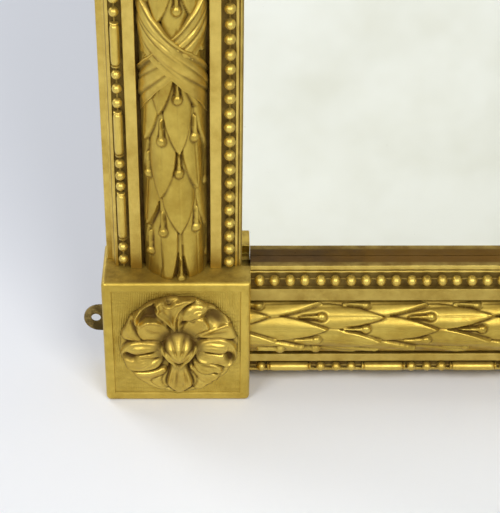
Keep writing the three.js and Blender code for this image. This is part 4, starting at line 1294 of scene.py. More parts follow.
def ribbon_band(lean, over, folds, rng):
    """Points of one band as (out, side, along) from the crossing, its faces, and its painted shade.

    It leans one way or the other, and lies over or under.
    """
    turns = np.linspace(math.radians(-90), math.radians(90), 121)
    across = np.linspace(-1, 1, 73)
    turn, p = np.meshgrid(turns, across, indexing="ij")
    gathered = np.abs(np.sin(turn)) ** 1.2
    half = RIBBON_HALF * (0.94 + 0.16 * gathered)
    lie = lean * ROLL_RADIUS * turn * 0.98
    lift = np.full(turn.shape, RIBBON_LIFT) + 0.5 * np.cos(p * 1.5)
    for start, skew, width, rise, side in folds:
        share = 1.0 if side == 0 else np.clip(0.5 + side * np.sin(turn) * 0.9, 0.08, 1)
        lift += rise * share * np.exp(-(((p - start - skew * turn) / width) ** 2))
    lift += 0.14 * np.sin(turn * 6 + 3 * p + rng.uniform(0, 6)) * np.cos(p * 4 + rng.uniform(0, 6))
    curl = np.exp(-(((0.93 - p) / 0.10) ** 2)) * (1.7 + 0.6 * np.sin(turn * 3.1 + rng.uniform(0, 6)))
    lift += curl - 0.9 * np.exp(-(((0.70 - p) / 0.11) ** 2)) + 0.3 * np.exp(-(((1 + p) / 0.08) ** 2))
    if over:
        lift += 1.1 * np.exp(-((turn / 0.8) ** 2))
    else:
        lift -= 0.8 * np.exp(-((turn / 0.5) ** 2))
    ragged = 0.7 * np.sin(turn * 5 + rng.uniform(0, 6)) + 0.4 * np.sin(turn * 13 + rng.uniform(0, 6))
    place = lie + p * half + ragged * np.clip((np.abs(p) - 0.7) * 3, 0, 1)
    lift = np.clip(lift, 0.2, 4.3)
    radius = ROLL_RADIUS + lift
    wall = ROLL_RADIUS - 2.5
    low = np.clip((14 - radius * np.cos(turn)) / 14, 0, 1) ** 1.6
    # painted shade in the folds and where the band comes down to the roll
    hollow = np.maximum(np.clip(softened(lift, 4.0) - lift, 0, 0.8), 0.7 * low)
    points = []
    shade_and_dirt = []
    for row, angle in enumerate(turns):
        c, s = math.cos(angle), math.sin(angle)
        points.append((wall * c, wall * s, place[row, 0]))
        points += [(r * c, r * s, z) for r, z in zip(radius[row], place[row])]
        points.append((wall * c, wall * s, place[row, -1]))
        shade_and_dirt += [RIBBON_WALL_SHADE, *hollow[row], RIBBON_WALL_SHADE]
    count = len(across) + 2
    quads = []
    for row in range(len(turns) - 1):
        quads += band_between(row * count, (row + 1) * count, count)
    quads.append(list(range(count))[::-1])
    quads.append(list(range(len(points) - count, len(points))))
    return points, quads, shade_and_dirt


# Folds across each band: place, skew, width, rise and the side of the roll where it is
# strongest (0 for both). Negative ones are furrows.
OVER_FOLDS = (
    (0.30, 0.06, 0.30, 1.1, 0), (0.46, 0.32, 0.09, -1.2, -1), (0.10, 0.22, 0.08, -1.0, -1),
    (-0.24, 0.24, 0.26, 1.0, 0), (-0.42, 0.20, 0.09, -1.3, 1), (-0.62, 0.04, 0.09, -1.0, -1),
    (0.34, -0.16, 0.08, -0.9, 1),
)
UNDER_FOLDS = (
    (0.44, -0.22, 0.09, -1.2, 1), (0.22, -0.08, 0.26, 1.0, 0), (0.04, -0.26, 0.09, -1.2, 0),
    (-0.34, -0.12, 0.26, 1.0, 0), (-0.56, -0.14, 0.09, -1.3, -1),
)


def joined(parts):
    """Several meshes, as points and faces, made into one."""
    points, faces = [], []
    for part_points, part_faces in parts:
        shift = len(points)
        points += part_points
        faces += [tuple(i + shift for i in face) for face in part_faces]
    return np.array(points), faces


def tie(name, node, place_point, seed):
    """A crossed ribbon, bent into place by place_point."""
    rng = np.random.default_rng(seed)
    bands = [ribbon_band(1, False, UNDER_FOLDS, rng), ribbon_band(-1, True, OVER_FOLDS, rng)]
    points, faces = joined([band[:2] for band in bands])
    placed = place_point(points[:, 0], points[:, 1], points[:, 2])
    marks = {"hollow": bands[0][2] + bands[1][2]}
    make_piece(name, placed, faces, gilt_carving, node, "gilt_carving", marks, 62.0)


def along_from(place_point, start):
    """The same bending, with its places counted from a start along the roll."""
    return lambda out, side, along: place_point(out, side, along + start)


for side_name, sign in SIDES:
    upright = upright_place(sign * (HALF - ROLL_LINE), sign > 0)
    for number, height in enumerate(TIES, 1):
        spot = along_from(upright, height)
        tie(f"tie_{side_name}_{number}", f"ribbon_tie_{side_name}_{number}", spot, 70 + number)
for place_name, line in RAIL_LINES.items():
    tie(
        f"tie_{place_name}", f"ribbon_tie_{place_name}",
        lambda out, side, along, line=line: np.stack([along, ROLL_SEAT - out, line + side], -1),
        80 + len(place_name),
    )


# ---- Pearls -----------------------------------------------------------------------------
# A string of pearls in the channel at the sight edge. They were pressed in composition
# on a thin rod and are taller than they are wide, and no two stand quite alike.
PEARL_PITCH = 14.19
PEARL_RADII = np.array([5.0, 6.0, 4.95])
PEARL_DEPTH = 25.2
STILE_END = 7.3
RAIL_END = 8.4


def ball(centre, radii, around=14, rings=9):
    """A ball drawn out along the depth: its points and faces. radii are (across, depth, along)."""
    x, y, z = centre
    wide, deep, tall = radii
    points = [(x, y - deep, z)]
    for ring in range(1, rings):
        polar = math.pi * ring / rings
        level = y - deep * math.cos(polar)
        for k in range(around):
            turn = 2 * math.pi * k / around
            off = wide * math.sin(polar) * math.cos(turn)
            rise = tall * math.sin(polar) * math.sin(turn)
            points.append((x + off, level, z + rise))
    points.append((x, y + deep, z))
    faces = [(0, 1 + k, 1 + (k + 1) % around) for k in range(around)]
    for ring in range(rings - 2):
        first = 1 + ring * around
        faces += [(a, d, c, b) for a, b, c, d in band_between(first, first + around, around)]
    last = len(points) - 1
    first = last - around
    faces += [(first + (k + 1) % around, first + k, last) for k in range(around)]
    return points, faces


def turned(profile, centre, around=14):
    """A closed turning about a line along the string. profile is (along, radius, depth radius)."""
    points = []
    for along, wide, deep in profile:
        for k in range(around):
            turn = 2 * math.pi * k / around
            x = centre[0] + wide * math.cos(turn)
            points.append((x, centre[1] + deep * math.sin(turn), centre[2] + along))
    faces = []
    for ring in range(len(profile) - 1):
        faces += band_between(ring * around, (ring + 1) * around, around)
    faces.append(tuple(range(around))[::-1])
    last = (len(profile) - 1) * around
    faces.append(tuple(range(last, last + around)))
    return points, faces


gilt_string = gilt_material(
    "gilt_string", colour(222, 195, 98), colour(196, 166, 76), 0.3, 0.42, 0.0003
)


def string_piece(name, node, parts, lying):
    """Joins the parts of a string, drawn upright, and lays them along a rail if lying."""
    points, faces = joined(parts)
    if lying:
        points = points[:, [2, 1, 0]]
    # painted shade, darker towards the back of the channel
    shade_and_dirt = np.clip((points[:, 1] - FRONT - 24.6) / 3.6, 0, 0.95)
    make_piece(name, points, faces, gilt_string, node, "gilt_carving", {"hollow": shade_and_dirt}, 80.0)


def string_line(node, lying):
    """Where a string starts and ends along its moulding, and its line across it."""
    low, high = box_mm(node)
    lengthwise, crosswise = (0, 2) if lying else (2, 0)
    return low[lengthwise], high[lengthwise], (low[crosswise] + high[crosswise]) / 2


def pearl_places(low, high, from_ends):
    """Pearls set from one end, or from both towards the middle."""
    if not from_ends:
        count = int((high - low - 2 * STILE_END) / PEARL_PITCH)
        return low + STILE_END + PEARL_PITCH * np.arange(count + 1)
    count = round((high - low - 2 * RAIL_END) / PEARL_PITCH)
    return np.linspace(low + RAIL_END, high - RAIL_END, count + 1)


def pearl_string(node, lying, seed):
    rng = np.random.default_rng(seed)
    start, stop, line = string_line(node, lying)
    parts = []
    for place in pearl_places(start, stop, lying):
        radii = PEARL_RADII * rng.uniform(0.95, 1.05, 3)
        centre = (line + rng.uniform(-0.25, 0.25), FRONT + PEARL_DEPTH, place + rng.uniform(-0.35, 0.35))
        parts.append(ball(centre, radii))
    rod = [(start + 0.4, 1.0, 1.2), (stop - 0.4, 1.0, 1.2)]
    parts.append(turned(rod, (line, FRONT + PEARL_DEPTH + 3.0, 0.0), 10))
    string_piece(node + "_string", node, parts, lying)


PEARL_STRINGS = ("left", "right", "bottom", "transom_lower", "transom_upper", "top")
for number, place_name in enumerate(PEARL_STRINGS):
    pearl_string(f"pearls_{place_name}", number > 1, 91 + number)


# ---- Bead and reel ------------------------------------------------------------------------
# The outer string: long reels with a thin collar at each end, and three round beads
# between them. It is glued in its channel like the pearls.
REEL_PERIOD_STILE = 85.8
REEL_PERIOD_RAIL = 89.2
REEL_DEPTH = 25.6
REEL_HALF = 21.4
BEAD_RADIUS = 4.5

# Beads and reels that the photograph shows, by their distance from the corner of the frame:
# the beads' middles, then each reel's ends.
STILE_BEADS = [147.6, 161.2, 226.3, 237.2, 249.7, 310.4, 324.5, 338.0, 397.7]
STILE_REELS = [(170.6, 218.9), (258.4, 301.5), (346.1, 386.3)]
RAIL_BEADS = [148.6, 206.2, 221.2, 235.8, 294.0, 309.1, 323.2, 386.0]
RAIL_REELS = [(154.9, 196.0), (246.5, 287.2), (331.9, 375.7)]


def reel(middle, half, line, start, stop):
    """A reel with a collar at each end, cut off where its channel ends."""
    half_body = [
        (-half - 0.6, 2.2, 2.2), (-half - 0.5, 3.7, 4.2), (-half + 0.6, 3.9, 4.4), (-half + 0.8, 2.4, 2.6),
        (-half + 1.3, 2.4, 2.6), (-half + 1.6, 3.2, 3.8), (-half + 3.4, 4.0, 4.6), (-half + 6.0, 4.2, 4.8),
    ]
    body = half_body + [(-a, w, d) for a, w, d in reversed(half_body)]
    shown = [(np.clip(middle + a, start, stop), w, d) for a, w, d in body]
    kept = [shown[0]] + [b for a, b in zip(shown, shown[1:]) if b[0] - a[0] > 1e-4]
    return turned(kept, (line, FRONT + REEL_DEPTH, 0.0), 12)


def reel_string(node, lying, beads, reels, period, seed):
    """The beads and reels that show, and the same pattern on from them to the far end."""
    rng = np.random.default_rng(seed)
    start, stop, line = string_line(node, lying)
    start, stop = start + 0.6, stop - 0.6
    corner = -HALF if lying else 0.0
    beads = [corner + place for place in beads]
    reels = [(corner + a, corner + b) for a, b in reels]
    middle = sum(reels[-1]) / 2 + period
    beads = [place for place in beads if place < middle - period]
    while middle - period < stop:
        half = REEL_HALF + rng.uniform(-1.4, 1.4)
        reels.append((middle - half, middle + half))
        gap = period / 2 - half
        beads += [middle - period / 2 + share * gap for share in (-0.62, 0.0, 0.62)]
        middle += period
    parts = [turned([(start, 0.9, 1.0), (stop, 0.9, 1.0)], (line, FRONT + 27.6, 0.0), 10)]
    for place in beads:
        if start + 3.9 < place < stop - 3.9:
            size = rng.uniform(0.95, 1.06)
            radii = (BEAD_RADIUS * size, 5.0, 4.6 * size)
            parts.append(ball((line, FRONT + REEL_DEPTH, place), radii, 12, 8))
    for first, last in reels:
        if min(last, stop) - max(first, start) > 8:
            parts.append(reel((first + last) / 2, (last - first) / 2, line, start, stop))
    string_piece(node + "_string", node, parts, lying)


for number, place_name in enumerate(("left", "right", "bottom", "top")):
    on_stile = (False, STILE_BEADS, STILE_REELS, REEL_PERIOD_STILE)
    on_rail = (True, RAIL_BEADS, RAIL_REELS, REEL_PERIOD_RAIL)
    reel_string(f"bead_and_reel_{place_name}", *(on_stile if number < 2 else on_rail), 101 + number)


# ---- Upper panel ----------------------------------------------------------------------
# The board above the transom: three pine boards glued edge to edge, gessoed over, gilded
# and hatched like the sunk squares. The back is bare, with its joints showing.
gilt_panel = gilt_material(
    "gilt_panel", colour(214, 184, 92), colour(194, 160, 74), 0.3, 0.42, 0.0004, hatched
)
back_wood = raw_wood("pine_across", LEVEL_GRAIN, colour(158, 126, 84), colour(112, 82, 48), 0.5)


def swept(section, low, high):
    """A closed section (height, depth) drawn straight across the frame from low to high."""
    count = len(section)
    points = [(x, depth, z) for x in (low, high) for z, depth in section]
    faces = band_between(0, count, count)
    faces.append(tuple(range(count))[::-1])
    faces.append(tuple(range(count, 2 * count)))
    return points, faces


def board_section(low, high, front, back, joints, groove):
    """Section of a board over its height, with a V groove in the back at each joint."""
    section = [
        (low, front + 0.6), (low + 0.6, front), (high - 0.6, front), (high, front + 0.6),
        (high, back - 1.2), (high - 1.2, back),
    ]
    for joint in sorted(joints, reverse=True):
        section += [
            (joint + groove, back), (joint + 0.15, back - groove),
            (joint - 0.15, back - groove), (joint - groove, back),
        ]
    return section + [(low + 1.2, back), (low, back - 1.2)]


panel_low, panel_high = box_mm("panel_board")
panel_joints = (panel_low[2] + 121.0, panel_low[2] + 238.0)
section = board_section(panel_low[2], panel_high[2], panel_low[1], panel_high[1], panel_joints, 1.0)
board_points, board_faces = swept(section, panel_low[0], panel_high[0])
board = make_piece("panel_boards", board_points, board_faces, gilt_panel, "panel_board", "gilt_panel").data
board.materials.append(back_wood)
for face in board.polygons:
    if face.center.y * 1000 > panel_low[1] + 0.7:
        face.material_index = 1
board_hatch = board.attributes.new("hatched", "FLOAT", "POINT")
board_hatch.data.foreach_set("value", np.ones(len(board.vertices), np.float32))


# ---- Patera on the panel ----------------------------------------------------------------
# The same flower as on the blocks, cut to another size and glued in the middle of the panel.
# It is carved limewood or composition, gilded with the frame.
PANEL_SEAT = panel_low[1]
patera_radius = box_mm("panel_patera")[1][0]
patera_middle = (panel_low[2] + panel_high[2]) / 2
patera = with_skirt(*flower_relief(patera_radius, 0.9, rosette_relief, 0.90))
place_flower(patera, "flower_panel", "panel_patera", (0.0, patera_middle), PANEL_SEAT)


# ---- Swags and husk drops -----------------------------------------------------------------
# Laurel garlands of composition over wire, thickest in the middle where a ribbon holds
# them. Each hangs from the patera to a small boss, and a drop of husks hangs below that.
SWAG_FROM = 90.0
SWAG_SPAN = 268.0
SWAG_HANG = 104.0
SWAG_THICK = 18.0
SWAG_THIN = 8.5
SWAG_LEAF = 0.56
SWAG_COLUMNS = (-95.0, -57.0, -19.0, 19.0, 57.0, 95.0)
BOSS_RADIUS = 17.0
HUSK_LENGTH = 146.0
HUSK_ROLL = 300.0
HUSK_COLUMNS = (-60.0, 0.0, 60.0)

swag_share = np.linspace(0, 1, 400)
swag_x = SWAG_FROM + SWAG_SPAN * swag_share
swag_z = SWAG_HANG * (0.5 - np.sin(math.pi * swag_share))
swag_far = np.concatenate([[0], np.cumsum(np.linalg.norm(np.diff([swag_x, swag_z]), axis=0))])
swag_reach = swag_far[-1] / 2 / SWAG_LEAF


def swag_place(sign, from_boss):
    """Bends a roll round half the swag. The leaves' tips come together in the middle."""

    def place(out, side, along):
        half = swag_far[-1] / 2
        far = half + np.asarray(along) * SWAG_LEAF * (1 if from_boss else -1)
        share = np.interp(far, swag_far, swag_share)
        x = np.interp(far, swag_far, swag_x)
        z = np.interp(far, swag_far, swag_z)
        slope = -SWAG_HANG * math.pi * np.cos(math.pi * share) / SWAG_SPAN
        size = np.hypot(1, slope)
        thick = (SWAG_THIN + (SWAG_THICK - 1.5 - SWAG_THIN) * np.sin(math.pi * share)) / ROLL_RADIUS
        across = sign * (x - side * thick * slope / size)
        up = patera_middle + z + side * thick / size
        return np.stack([across, PANEL_SEAT - out * thick, up], -1)

    return place


def daisy_relief(px, pz):
    """A small flower with eight petals round a bud."""
    far = np.hypot(px, pz)
    turn = np.arctan2(pz, px)
    scale = ROSETTE_RADIUS
    petals = np.abs(np.cos(4 * turn))
    edge = scale * (0.86 + 0.13 * petals)
    body = 16 + 16 * np.sin(np.clip(far / edge, 0, 1) * math.pi)
    body += 6 * (petals - 0.5) * np.clip(far / scale, 0, 1)
    body -= 6.0 * np.exp(-((petals / 0.2) ** 2)) * np.clip(far / scale * 2 - 0.5, 0, 1)
    bud = 37 * np.sqrt(np.clip(1 - (far / 17.5) ** 2, 0, 1)) + 2 * np.cos(10 * turn) * (far < 15)
    groove = 7 * np.exp(-(((far - 18.5) / 2.6) ** 2))
    # the third value is painted shade in the groove round the bud
    return np.maximum(body - groove, bud), edge, 0.4 * np.exp(-(((far - 18.5) / 3.0) ** 2))


def husk_place(sign):
    """Draws a roll down from the boss as bells that open downwards, each smaller than the last."""

    def place(out, side, along):
        share = np.clip(np.asarray(along) / HUSK_ROLL, 0, 1)
        cell = np.mod(share * 4, 1.0)
        bell = 0.50 + 0.62 * (1 - cell) ** 0.8
        down = 1 - share
        thick = 10.2 / ROLL_RADIUS * (1 - 0.42 * down) * bell
        x = sign * (SWAG_FROM + SWAG_SPAN)
        z = patera_middle + SWAG_HANG / 2 - HUSK_LENGTH + share * HUSK_LENGTH
        return np.stack([x + side * thick, PANEL_SEAT - out * thick, z + 0 * side], -1)

    return place


def husk_leaves():
    """Five rings of three leaves; the middle leaf of each hangs lower and holds a berry."""
    leaves = []
    for share in (0.0, 0.25, 0.5, 0.75, 1.0):
        for column in HUSK_COLUMNS:
            tip = HUSK_ROLL * share - 18.0 + 9 * (column == 0)
            leaves.append((column, tip, 17.0, 30.0, 24.0 if column == 0 else None, 0.0))
    return leaves


daisy = with_skirt(*flower_relief(BOSS_RADIUS, 0.45, daisy_relief, 1.0))
for side_name, sign in SIDES:
    node = f"panel_swag_{side_name}"
    for from_boss, half_name in ((False, "inner"), (True, "outer")):
        seed = 121 + 2 * from_boss + sign
        leaves = patterned_leaves(-10, swag_reach, SWAG_COLUMNS, 74.0, 12.0, 15.5, 44.0, 52.0, seed)
        build_roll(
            f"swag_{side_name}_{half_name}", node, leaves, swag_place(sign, from_boss),
            (0.0, swag_reach - 1.0), 1.25, 2.4, seed,
        )
    tie(f"swag_tie_{side_name}", node, swag_place(sign, True), 131 + sign)
    build_roll(
        f"husks_{side_name}", node, husk_leaves(), husk_place(sign), (0.0, HUSK_ROLL), 1.5, 3.0, 141 + sign
    )
    boss_middle = (sign * (SWAG_FROM + SWAG_SPAN), patera_middle + SWAG_HANG / 2)
    place_flower(daisy, f"boss_{side_name}", node, boss_middle, PANEL_SEAT)


# ---- Bow ------------------------------------------------------------------------------------
# A ribbon bow in low relief over the patera: two puckered loops, a knot and two short ends.
# Carved thin, glued to the panel and gilded with the frame.
bow_low, bow_high = box_mm("panel_bow")
bow_half = (bow_high[0] - bow_low[0]) / 2
bow_z = patera_middle + patera_radius + 32.3
BOW_CELL = 0.6
BOW_TOP = 27.0


def bow_relief():
    """The bow cut on a grid. Its outline is drawn out to a smooth line."""
    across = np.arange(-bow_half - 1, bow_half + 1, BOW_CELL)
    up = np.arange(bow_low[2] - bow_z, BOW_TOP, BOW_CELL)
    px, pz = np.meshgrid(across, up, indexing="ij")
    cut = Carving(px, pz, 0.0)
    outlines = []
    for lean in (-1, 1):
        end = [(4, -3), (16, -12), (34, -15), (46, -13), (42, -8), (28, -7), (14, 1)]
        loop = [(3, -6), (22, -13), (50, -13.5), (68, -8), (74, 3),
                (70, 16), (56, 23), (34, 21), (14, 9), (3, 6)]
        end = [(lean * x, z) for x, z in end]
        loop = [(lean * x, z) for x, z in loop]
        outlines += [end, loop]
        cut.petal(end, (lean * 4, -4), (lean * 46, -12), 3.2, 2.4, 0.8, 0.8)
        cut.petal(loop, (lean * 3, 0), (lean * 70, 4), 4.6, 5.4, 0.6, 1.2)
        cut.hollow((lean * 40, 3.5), (20.0, 6.5), 4.2, lean * 10)
        for rise, shift in ((1.0, 2.0), (-0.9, -1.5), (0.8, -5.0)):
            fold = [(lean * 6, shift * 0.4), (lean * 20, 4 + shift), (lean * 36, 12 + shift)]
            cut.ridge(fold, 1.3, rise)
        cut.ridge([(lean * 8, -4), (lean * 30, -9), (lean * 54, -9)], 1.6, 0.8)
    knot = [(-8, -8), (0, -10), (8, -8), (8.5, 7), (0, 9.5), (-8.5, 7)]
    outlines.append(knot)
    cut.petal(knot, (0, -8), (0, 8), 6.4, 6.4, 1.6, 0.4)
    for shift in (-3.4, 0.2, 3.6):
        cut.ridge([(shift * 0.7, -8), (shift, 0), (shift * 0.7, 8)], 0.9, -0.9)
    deep = np.max([inside_distance(px, pz, rounded_outline(o, 2)) for o in outlines], axis=0)
    height = softened(cut.height, 0.8)
    # painted shade in the bow's hollows
    hollow = np.clip((softened(height, 5.0) - height) / 2.4, 0, 1)
    keep = deep > 0
    within = keep.copy()
    within[1:-1, 1:-1] &= keep[:-2, 1:-1] & keep[2:, 1:-1] & keep[1:-1, :-2] & keep[1:-1, 2:]
    rim = keep & ~within
    slope_x, slope_z = np.gradient(deep, BOW_CELL)
    size = np.maximum(np.hypot(slope_x, slope_z), 0.3)
    px = np.where(rim, px - deep * slope_x / size, px)
    pz = np.where(rim, pz - deep * slope_z / size, pz)
    return relief_mesh(px, pz, np.maximum(height, 1.2), hollow, keep)


place_flower(with_skirt(*bow_relief()), "bow", "panel_bow", (0.0, bow_z), PANEL_SEAT)


# ---- Mirror glass -----------------------------------------------------------------------
# Old plate glass, silvered behind. The silver has clouded a little and gone brown in specks
# towards the edges; the back of it is painted red-brown.
def silvered_glass():
    """Silver in front, and paint where the mesh is marked bare."""
    made, tree, shader = new_material("silvered_glass")
    where = own_place(tree)
    cloud = noise(tree, where, 5.0, 4.0, 0.6)
    clouded = spread(tree, cloud, 0.35, 0.7)
    speck = spread(tree, noise(tree, where, 130.0, 4.0, 0.7), 0.68, 0.78)
    foxed = times(tree, speck, mark(tree, "hollow"))
    silver = blend_colours(tree, clouded, colour(244, 245, 233), colour(229, 229, 212))
    silver = blend_colours(tree, foxed, silver, colour(96, 78, 50))
    brushed = spread(tree, noise(tree, where, 26.0, 5.0, 0.7), 0.4, 0.65)
    paint = blend_colours(tree, brushed, colour(104, 58, 42), colour(78, 44, 34))
    back = spread(tree, mark(tree, "bare"), 0.45, 0.55)
    gloss = weighted(tree, spread(tree, cloud, 0.3, 0.8), 0.05, back, 0.5)
    looks = {
        "Base Color": blend_colours(tree, back, silver, paint),
        "Metallic": minus(tree, 1.0, back),
        "Roughness": plus(tree, gloss, times(tree, foxed, 0.3), True),
        "Normal": bump(tree, noise(tree, where, 3.0, 1.0), 0.00025),
    }
    feed_all(tree, looks, shader)
    return made


FOXED_BORDER = 45.0
GLASS_BEVEL = 1.0
glass_low, glass_high = box_mm("mirror_glass")


def glass_lines(low, high, inner):
    """Places of the glass's grid from edge to edge, with a narrow border for the bevel."""
    return np.array([low, low + 1.5, *inner, high - 1.5, high])


glass_x = glass_lines(glass_low[0], glass_high[0], (glass_low[0] + 40, 0.0, glass_high[0] - 40))
glass_z = glass_lines(glass_low[2], glass_high[2], np.linspace(glass_low[2] + 40, glass_high[2] - 40, 9))
wide, tall = len(glass_x), len(glass_z)
points = []
for y, eased_by in ((glass_low[1], GLASS_BEVEL), (glass_high[1], 0.0)):
    for x in glass_x:
        for z in glass_z:
            at_edge = x in glass_x[[0, -1]] or z in glass_z[[0, -1]]
            points.append((x, y + eased_by * at_edge, z))
glass_points = np.array(points)
front_number, back_number = np.arange(2 * wide * tall).reshape(2, wide, tall)
faces = []
for number in (front_number, back_number):
    cells = np.stack([number[:-1, :-1], number[1:, :-1], number[1:, 1:], number[:-1, 1:]], -1)
    faces += cells.reshape(-1, 4).tolist()
for side in (0, -1):
    upright_edge = (front_number[side], back_number[side])
    level_edge = (front_number[:, side], back_number[:, side])
    for front, back in (upright_edge, level_edge):
        faces += np.stack([front[:-1], front[1:], back[1:], back[:-1]], 1).tolist()
from_edge = np.minimum(glass_points - glass_low, glass_high - glass_points)[:, [0, 2]].min(axis=1)
glass_marks = {
    "hollow": np.clip(1 - from_edge / FOXED_BORDER, 0, 1),
    "bare": glass_points[:, 1] > glass_high[1] - 0.1,
}
make_piece(
    "silvered_plate", glass_points, faces, silvered_glass(), "mirror_glass", "mirror_glass",
    glass_marks, 20.0,
)


# ---- Backboard and glazing wedges ---------------------------------------------------------
# Rough pine boards laid across behind the glass, each with a little play, and held by
# slanting iron nails at their ends. Small pine wedges under them keep the glass forward.
def worn_metal(name, scale, limits, bright, dull, glosses, metallic):
    """Metal with rust or wear in patches."""
    made, tree, shader = new_material(name)
    patch = spread(tree, noise(tree, own_place(tree), scale, 4.0), *limits)
    looks = {
        "Base Color": blend_colours(tree, patch, bright, dull),
        "Roughness": spread(tree, patch, 0, 1, *glosses),
        "Metallic": metallic,
    }
    feed_all(tree, looks, shader)
    return made


wedge_wood = raw_wood("pine_wedge", UPRIGHT_GRAIN, colour(176, 142, 94), colour(122, 90, 54), 0.35)
iron = worn_metal(
    "nail_iron", 300.0, (0.4, 0.65), colour(62, 56, 52), colour(112, 66, 40), (0.45, 0.85), 0.6
)

NAIL_SIDES = 10
NAIL_LEAN = 0.45
NAIL_TOP = 1.0
NAIL_END = -5.0
# The head and the shank of a nail: radius, and height over the board.
NAIL_RINGS = [(1.3, 0.85), (2.3, 0.35), (2.5, -0.1), (1.1, -0.5), (0.9, -4.5)]
PLANK_JOINTS = np.array([0, 0.13, 0.29, 0.43, 0.58, 0.71, 0.86, 1.0])


def nail(x, y, z, tilt):
    """A slanting nail with its head on the back of a board."""
    points = []
    for k in range(NAIL_SIDES):
        turn = 2 * math.pi * k / NAIL_SIDES
        for radius, rise in NAIL_RINGS:
            u = radius * math.cos(turn)
            depth = y + rise * 0.9 - u * tilt * 0.3
            points.append((x + u + rise * tilt, depth, z + radius * math.sin(turn)))
    top = len(points)
    points += [(x + NAIL_TOP * tilt, y + 0.9, z), (x + NAIL_END * tilt, y - 4.5, z)]
    faces = []
    rings = len(NAIL_RINGS)
    for k in range(NAIL_SIDES):
        a, b = rings * k, rings * ((k + 1) % NAIL_SIDES)
        faces += [(a + m, b + m, b + m + 1, a + m + 1) for m in range(rings - 1)]
        faces += [(top, b, a), (top + 1, a + rings - 1, b + rings - 1)]
    return points, faces


back_low, back_high = box_mm("mirror_backboard")
rng = np.random.default_rng(151)
plank_ends = back_low[2] + (back_high[2] - back_low[2]) * PLANK_JOINTS
for number, (low_z, high_z) in enumerate(zip(plank_ends, plank_ends[1:]), 1):
    gap_low = 0 if number == 1 else rng.uniform(0.3, 0.9)
    gap_high = 0 if number == 7 else rng.uniform(0.3, 0.9)
    front = back_low[1] + rng.uniform(0.0, 0.3)
    back = back_high[1] - rng.uniform(0.0, 0.7)
    trim = rng.uniform(0.0, 1.6, 2)
    section = board_section(low_z + gap_low, high_z - gap_high, front, back, (), 0.5)
    points, faces = swept(section, back_low[0] + trim[0], back_high[0] - trim[1])
    make_piece(f"plank_{number}", points, faces, back_wood, "mirror_backboard", "raw_pine")
    nails = []
    for end in (-1, 1):
        for share in (0.2, 0.8):
            z = low_z + (high_z - low_z) * share + rng.uniform(-4, 4)
            x = end * (back_high[0] - 6.5 + rng.uniform(-1, 1))
            nails.append(nail(x, back, z, end * NAIL_LEAN))
    make_piece(f"nails_{number}", *joined(nails), iron, "mirror_backboard", "steel")

for side_name, _ in SIDES:
    for place_name in ("lower", "upper"):
        node = f"glazing_block_{side_name}_{place_name}"
        work = plain_copy(node)
        bevel(work, list(work.edges), 0.5, 2)
        object_of(work, f"wedge_{side_name}_{place_name}", wedge_wood, node, "raw_pine")


# ---- Wall plates and screws -----------------------------------------------------------------
# Cast brass plates let into the backs of the blocks, each with a lug and a hole for a wall
# hook. They have gone brown. Two slotted steel screws hold each plate.
def old_brass():
    made, tree, shader = new_material("old_brass")
    where = own_place(tree)
    patch = noise(tree, where, 60.0, 4.0, 0.6)
    fine = noise(tree, stretched(tree, where, (0.25, 1.0, 1.0)), 900.0, 3.0, 0.7)
    brown = spread(tree, weighted(tree, patch, 0.7, fine, 0.3), 0.4, 0.62)
    looks = {
        "Base Color": blend_colours(tree, brown, colour(150, 128, 74), colour(84, 69, 33)),
        "Roughness": spread(tree, brown, 0, 1, 0.34, 0.56),
        "Metallic": 0.85,
        "Normal": bump(tree, fine, 0.00012),
    }
    feed_all(tree, looks, shader)
    return made


brass = old_brass()
steel = worn_metal(
    "screw_steel", 500.0, (0.42, 0.62), colour(120, 116, 108), colour(82, 68, 54), (0.32, 0.6), 0.9
)

SLOT_HALF = 0.55
SLOT_DEPTH = 0.8
SCREW_SIDES = 28
SCREW_HEAD_DEPTH = 1.8
SHANK_RADIUS = 1.98


